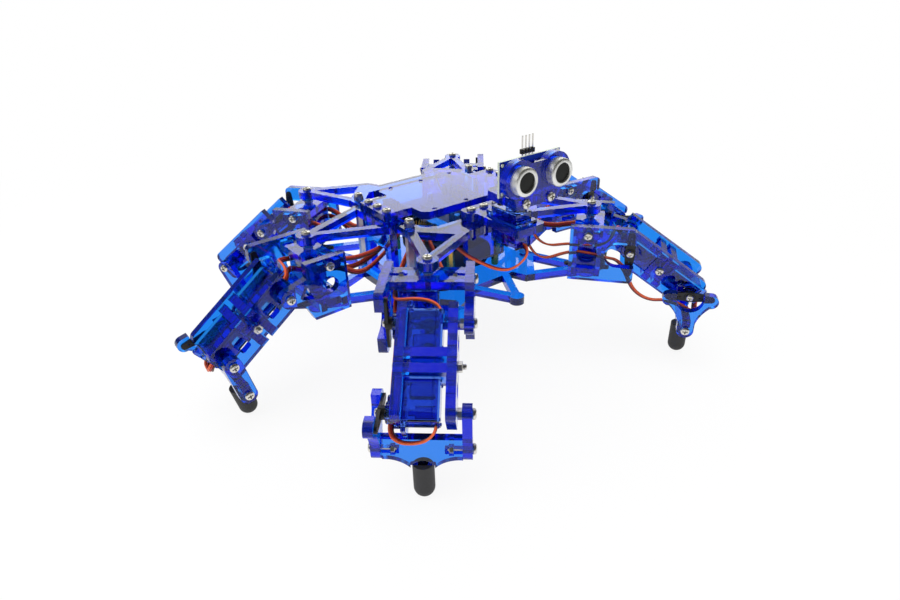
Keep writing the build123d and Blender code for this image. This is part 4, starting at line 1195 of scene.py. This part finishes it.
def addController():
    black, tin, silver, brass, tan = range(1, 6)
    bm = bmesh.new()
    low, thick, pitch, pin = control["low"], control["thick"], control["pitch"], control["pin"]
    corners = cornersOf(control["holeX"], control["holeY"])
    bare = boardSheet(control["long"], control["wide"], thick, corners, control["hole"])
    addShape(bm, bare, deckPlace @ shift(z=low + thick / 2))
    on = deckPlace @ shift(z=low + thick)
    for x, y, *size in chips:
        addChip(bm, on @ shift(x, y), *size, (black, tin))
    addShape(bm, squareBlock(0.014, 0.009, 0, 0.0055, 0.0004), on @ shift(0.015, -0.0155), tin)
    button = on @ shift(0.0305, -0.0015)
    addShape(bm, squareBlock(0.009, 0.009, 0, 0.0040, 0.0005), button, black)
    addShape(bm, peg(0.0017, 0.004, 0.0046, 16), button, brass)
    can = turned([(0, 0.0001), (0.0021, 0.0001), (0.0021, 0.0050), (0.0018, 0.0053), (0, 0.0053)], 20)
    for x, y in capacitors:
        addShape(bm, can, on @ shift(x, y), silver)
    for x, y in smallParts:
        addChip(bm, on @ shift(x, y), 0.0020, 0.0012, 0.0005, 1, (tan, tin))
    plug = squareBlock(pitch, 3 * pitch, 0.0002, control["plugTop"], 0.0003)
    plugged = [(along * x / 1000, -side) for routes, along, side, plugs in hanging.values() for x in plugs]
    for x, side in plugged:
        addShape(bm, plug, on @ shift(x, side * control["rowY"]), black)
    strip = squareBlock(pitch * 0.97, pitch * 0.97, 0.0001, control["stripTop"], 0.0002)
    post = squareBlock(pin, pin, control["stripTop"], control["pinTop"], 0.0001)
    for side in (-1, 1):
        for n in range(control["rowPins"]):
            x = (n - (control["rowPins"] - 1) / 2) * pitch
            if any(abs(x - taken) < pitch and side == way for taken, way in plugged):
                continue
            for row in (-1, 0, 1):
                place = on @ shift(x, side * control["rowY"] + row * pitch)
                addShape(bm, strip, place, black)
                addShape(bm, post, place, brass)
    foot = hexRod(2 * control["foot"] * cos(pi / 6), -control["belly"], control["belly"] + low)
    for x, y in cornersOf(control["footX"], control["footY"]):
        addShape(bm, foot, deckPlace @ shift(x, y), brass)
    addPiece("controller", bm, ["board", "chipBlack", "tin", "aluminium", "brass", "ceramic"], "body",
             node="controller_board")


battery = {"cell": 0.0089, "corner": 0.0070, "cuts": 24, "dip": 0.0011, "pucker": 0.004, "squeeze": 0.10,
           "smooth": 50}


# Two cells side by side in one shrunk sleeve: the sleeve dips a little between them and puckers at its ends
def addBattery():
    low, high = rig.box("battery_pack")
    centre, size = (low + high) / 2, high - low
    r, pucker = battery["cell"], battery["pucker"]
    bm = bmesh.new()
    bmesh.ops.create_cube(bm, size=1.0, matrix=Matrix.Translation(centre) @ Matrix.Diagonal((*size, 1)))
    bevelled(bm, edgesAlong(bm, 0), battery["corner"], 8)
    for n in range(1, battery["cuts"]):
        bisected(bm, (low.x + size.x * n / battery["cuts"], 0, 0), (1, 0, 0))
    for n in range(-7, 8):
        bisected(bm, (0, centre.y + n * r / 8, 0), (0, 1, 0))
    for vert in bm.verts:
        aside = abs(vert.co.y - centre.y) / r
        if aside < 1:
            vert.co.z += (battery["dip"] if vert.co.z < centre.z else -battery["dip"]) * (1 - aside) ** 1.5
        end = min(vert.co.x - low.x, high.x - vert.co.x)
        if end < pucker:
            squeeze = 1 - battery["squeeze"] * (1 - end / pucker) ** 2
            vert.co.y = centre.y + (vert.co.y - centre.y) * squeeze
            vert.co.z = centre.z + (vert.co.z - centre.z) * squeeze
    addPiece("battery_sleeve", bm, "shrink", "body", node="battery_pack", smooth=battery["smooth"])


addController()
addBattery()
print("controller and battery placed")


# The line that a cord follows, read from a smooth spline through its route
def splineLine(points):
    curve = bpy.data.curves.new("route", "CURVE")
    curve.dimensions = "3D"
    curve.resolution_u = 8
    spline = curve.splines.new("NURBS")
    spline.points.add(len(points) - 1)
    for handle, point in zip(spline.points, points):
        handle.co = (*point, 1)
    spline.order_u = 3
    spline.use_endpoint_u = True
    route = linked("route", curve)
    data = bpy.data.meshes.new_from_object(route)
    line = [vert.co.copy() for vert in data.vertices]
    bpy.data.objects.remove(route)
    bpy.data.meshes.remove(data)
    return line


def lengthOf(line):
    return sum((b - a).length for a, b in zip(line, line[1:]))


def nearest(line, point):
    return min(range(len(line)), key=lambda n: (line[n] - point).length)


# Three round wires side by side, kept as flat as the line allows: at each point of the line a ring is made
# for each wire and joined to the one before
def addRibbon(bm, line, across):
    sides = lead["sides"]
    ends = []
    before = None
    for n, point in enumerate(line):
        along = (line[min(n + 1, len(line) - 1)] - line[max(n - 1, 0)]).normalized()
        across = (across - along * across.dot(along)).normalized()
        place = Matrix.Translation(point) @ Matrix((across, along.cross(across), along)).transposed().to_4x4()
        rings = []
        for wire in (-1, 0, 1):
            ring = bmesh.ops.create_circle(bm, segments=sides, radius=lead["wire"],
                                           matrix=place @ shift(wire * lead["apart"]))
            rings.append(ring["verts"])
        if before:
            for wire, (a, b) in enumerate(zip(before, rings)):
                for k in range(sides):
                    face = bm.faces.new((a[k], a[(k + 1) % sides], b[(k + 1) % sides], b[k]))
                    face.material_index = wire
        before = rings
        if n in (0, len(line) - 1):
            ends.append(rings)
    for rings, isFirst in zip(ends, (True, False)):
        for wire, ring in enumerate(rings):
            bm.faces.new(ring[::-1] if isFirst else ring).material_index = wire
    return across


def addLead(name, parts, across):
    made = []
    for line, bodies, crossing in parts:
        bm = bmesh.new()
        across = addRibbon(bm, line, across)
        bmesh.ops.recalc_face_normals(bm, faces=bm.faces[:])
        end = bodies[0].split("_")[-1]
        piece = finishObject(f"{name}_lead_{end}", bm, ["leadBrown", "leadRed", "leadOrange"], lead["smooth"])
        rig.slot(piece, "lead_orange")
        if crossing:
            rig.blend(piece, *bodies, start=crossing[0], end=crossing[1])
        else:
            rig.ride(piece, bodies[0])
        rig.cord(piece, exit=line[0], length=lengthOf(line), diameter=2 * (lead["wire"] + lead["apart"]),
                far_end="object", stiffness="limp", lay="hanging", path=line)
        made.append(piece)
    return made


def addLegLeads(name):
    hip, knee = legPlaces[name]["hip"], legPlaces[name]["knee"]
    thigh, coxa = f"{name}_thigh", f"{name}_coxa"
    routes, along, aside, plugs = hanging[name]
    onThigh = looseAnkleLead if name == "front_left" else ankleLead
    up = hip.to_3x3() @ Vector((0, 0, 1))
    split = placed(hip, [leadSplit])[0]
    starts = {
        "ankle": placed(knee, onThigh) + placed(hip, ankleLeadInCoxa),
        "knee": placed(knee, kneeLead) + placed(hip, kneeLeadInCoxa),
        "hip": placed(hip, hipLead),
    }
    pieces = []
    for (end, start), route, plugX in zip(starts.items(), routes, plugs):
        straight = plugEnd["middleStraight" if plugX == plugEnd["middleX"] else "straight"]
        last = [(plugX, plugEnd["y"] - straight, plugEnd["z"]), (plugX, plugEnd["y"], plugEnd["z"])]
        line = splineLine(start + placed(deckPlace, [(along * x, aside * y, z) for x, y, z in route + last]))
        bend = bends[end]
        if end == "hip":
            parts = [(line, (coxa, "body"), placed(hip, bend))]
        else:
            cut = nearest(line, split)
            parts = [(line[:cut + 1], (thigh, coxa), placed(knee, bend[:1]) + placed(hip, bend[1:])),
                     (line[cut:], (coxa, "body"), placed(hip, bends["overHip"]))]
        pieces += addLead(f"{name}_{end}", parts, up)
    return pieces


leadPieces = [piece for name in legNames for piece in addLegLeads(name)]
headLine = splineLine(placed(deckPlace, headLead))
leadPieces += addLead("head", [(headLine, ("body",), None)], Vector((0, 0, 1)))
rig.replaces(leadPieces[0], "servo_leads")
print("servo leads placed:", len(leadPieces))

bpy.context.scene.view_settings.view_transform = "Standard"
json.dump({"cad": cadBox, "visual": [list(corner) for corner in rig.bounds()]}, open("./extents.json", "w"))
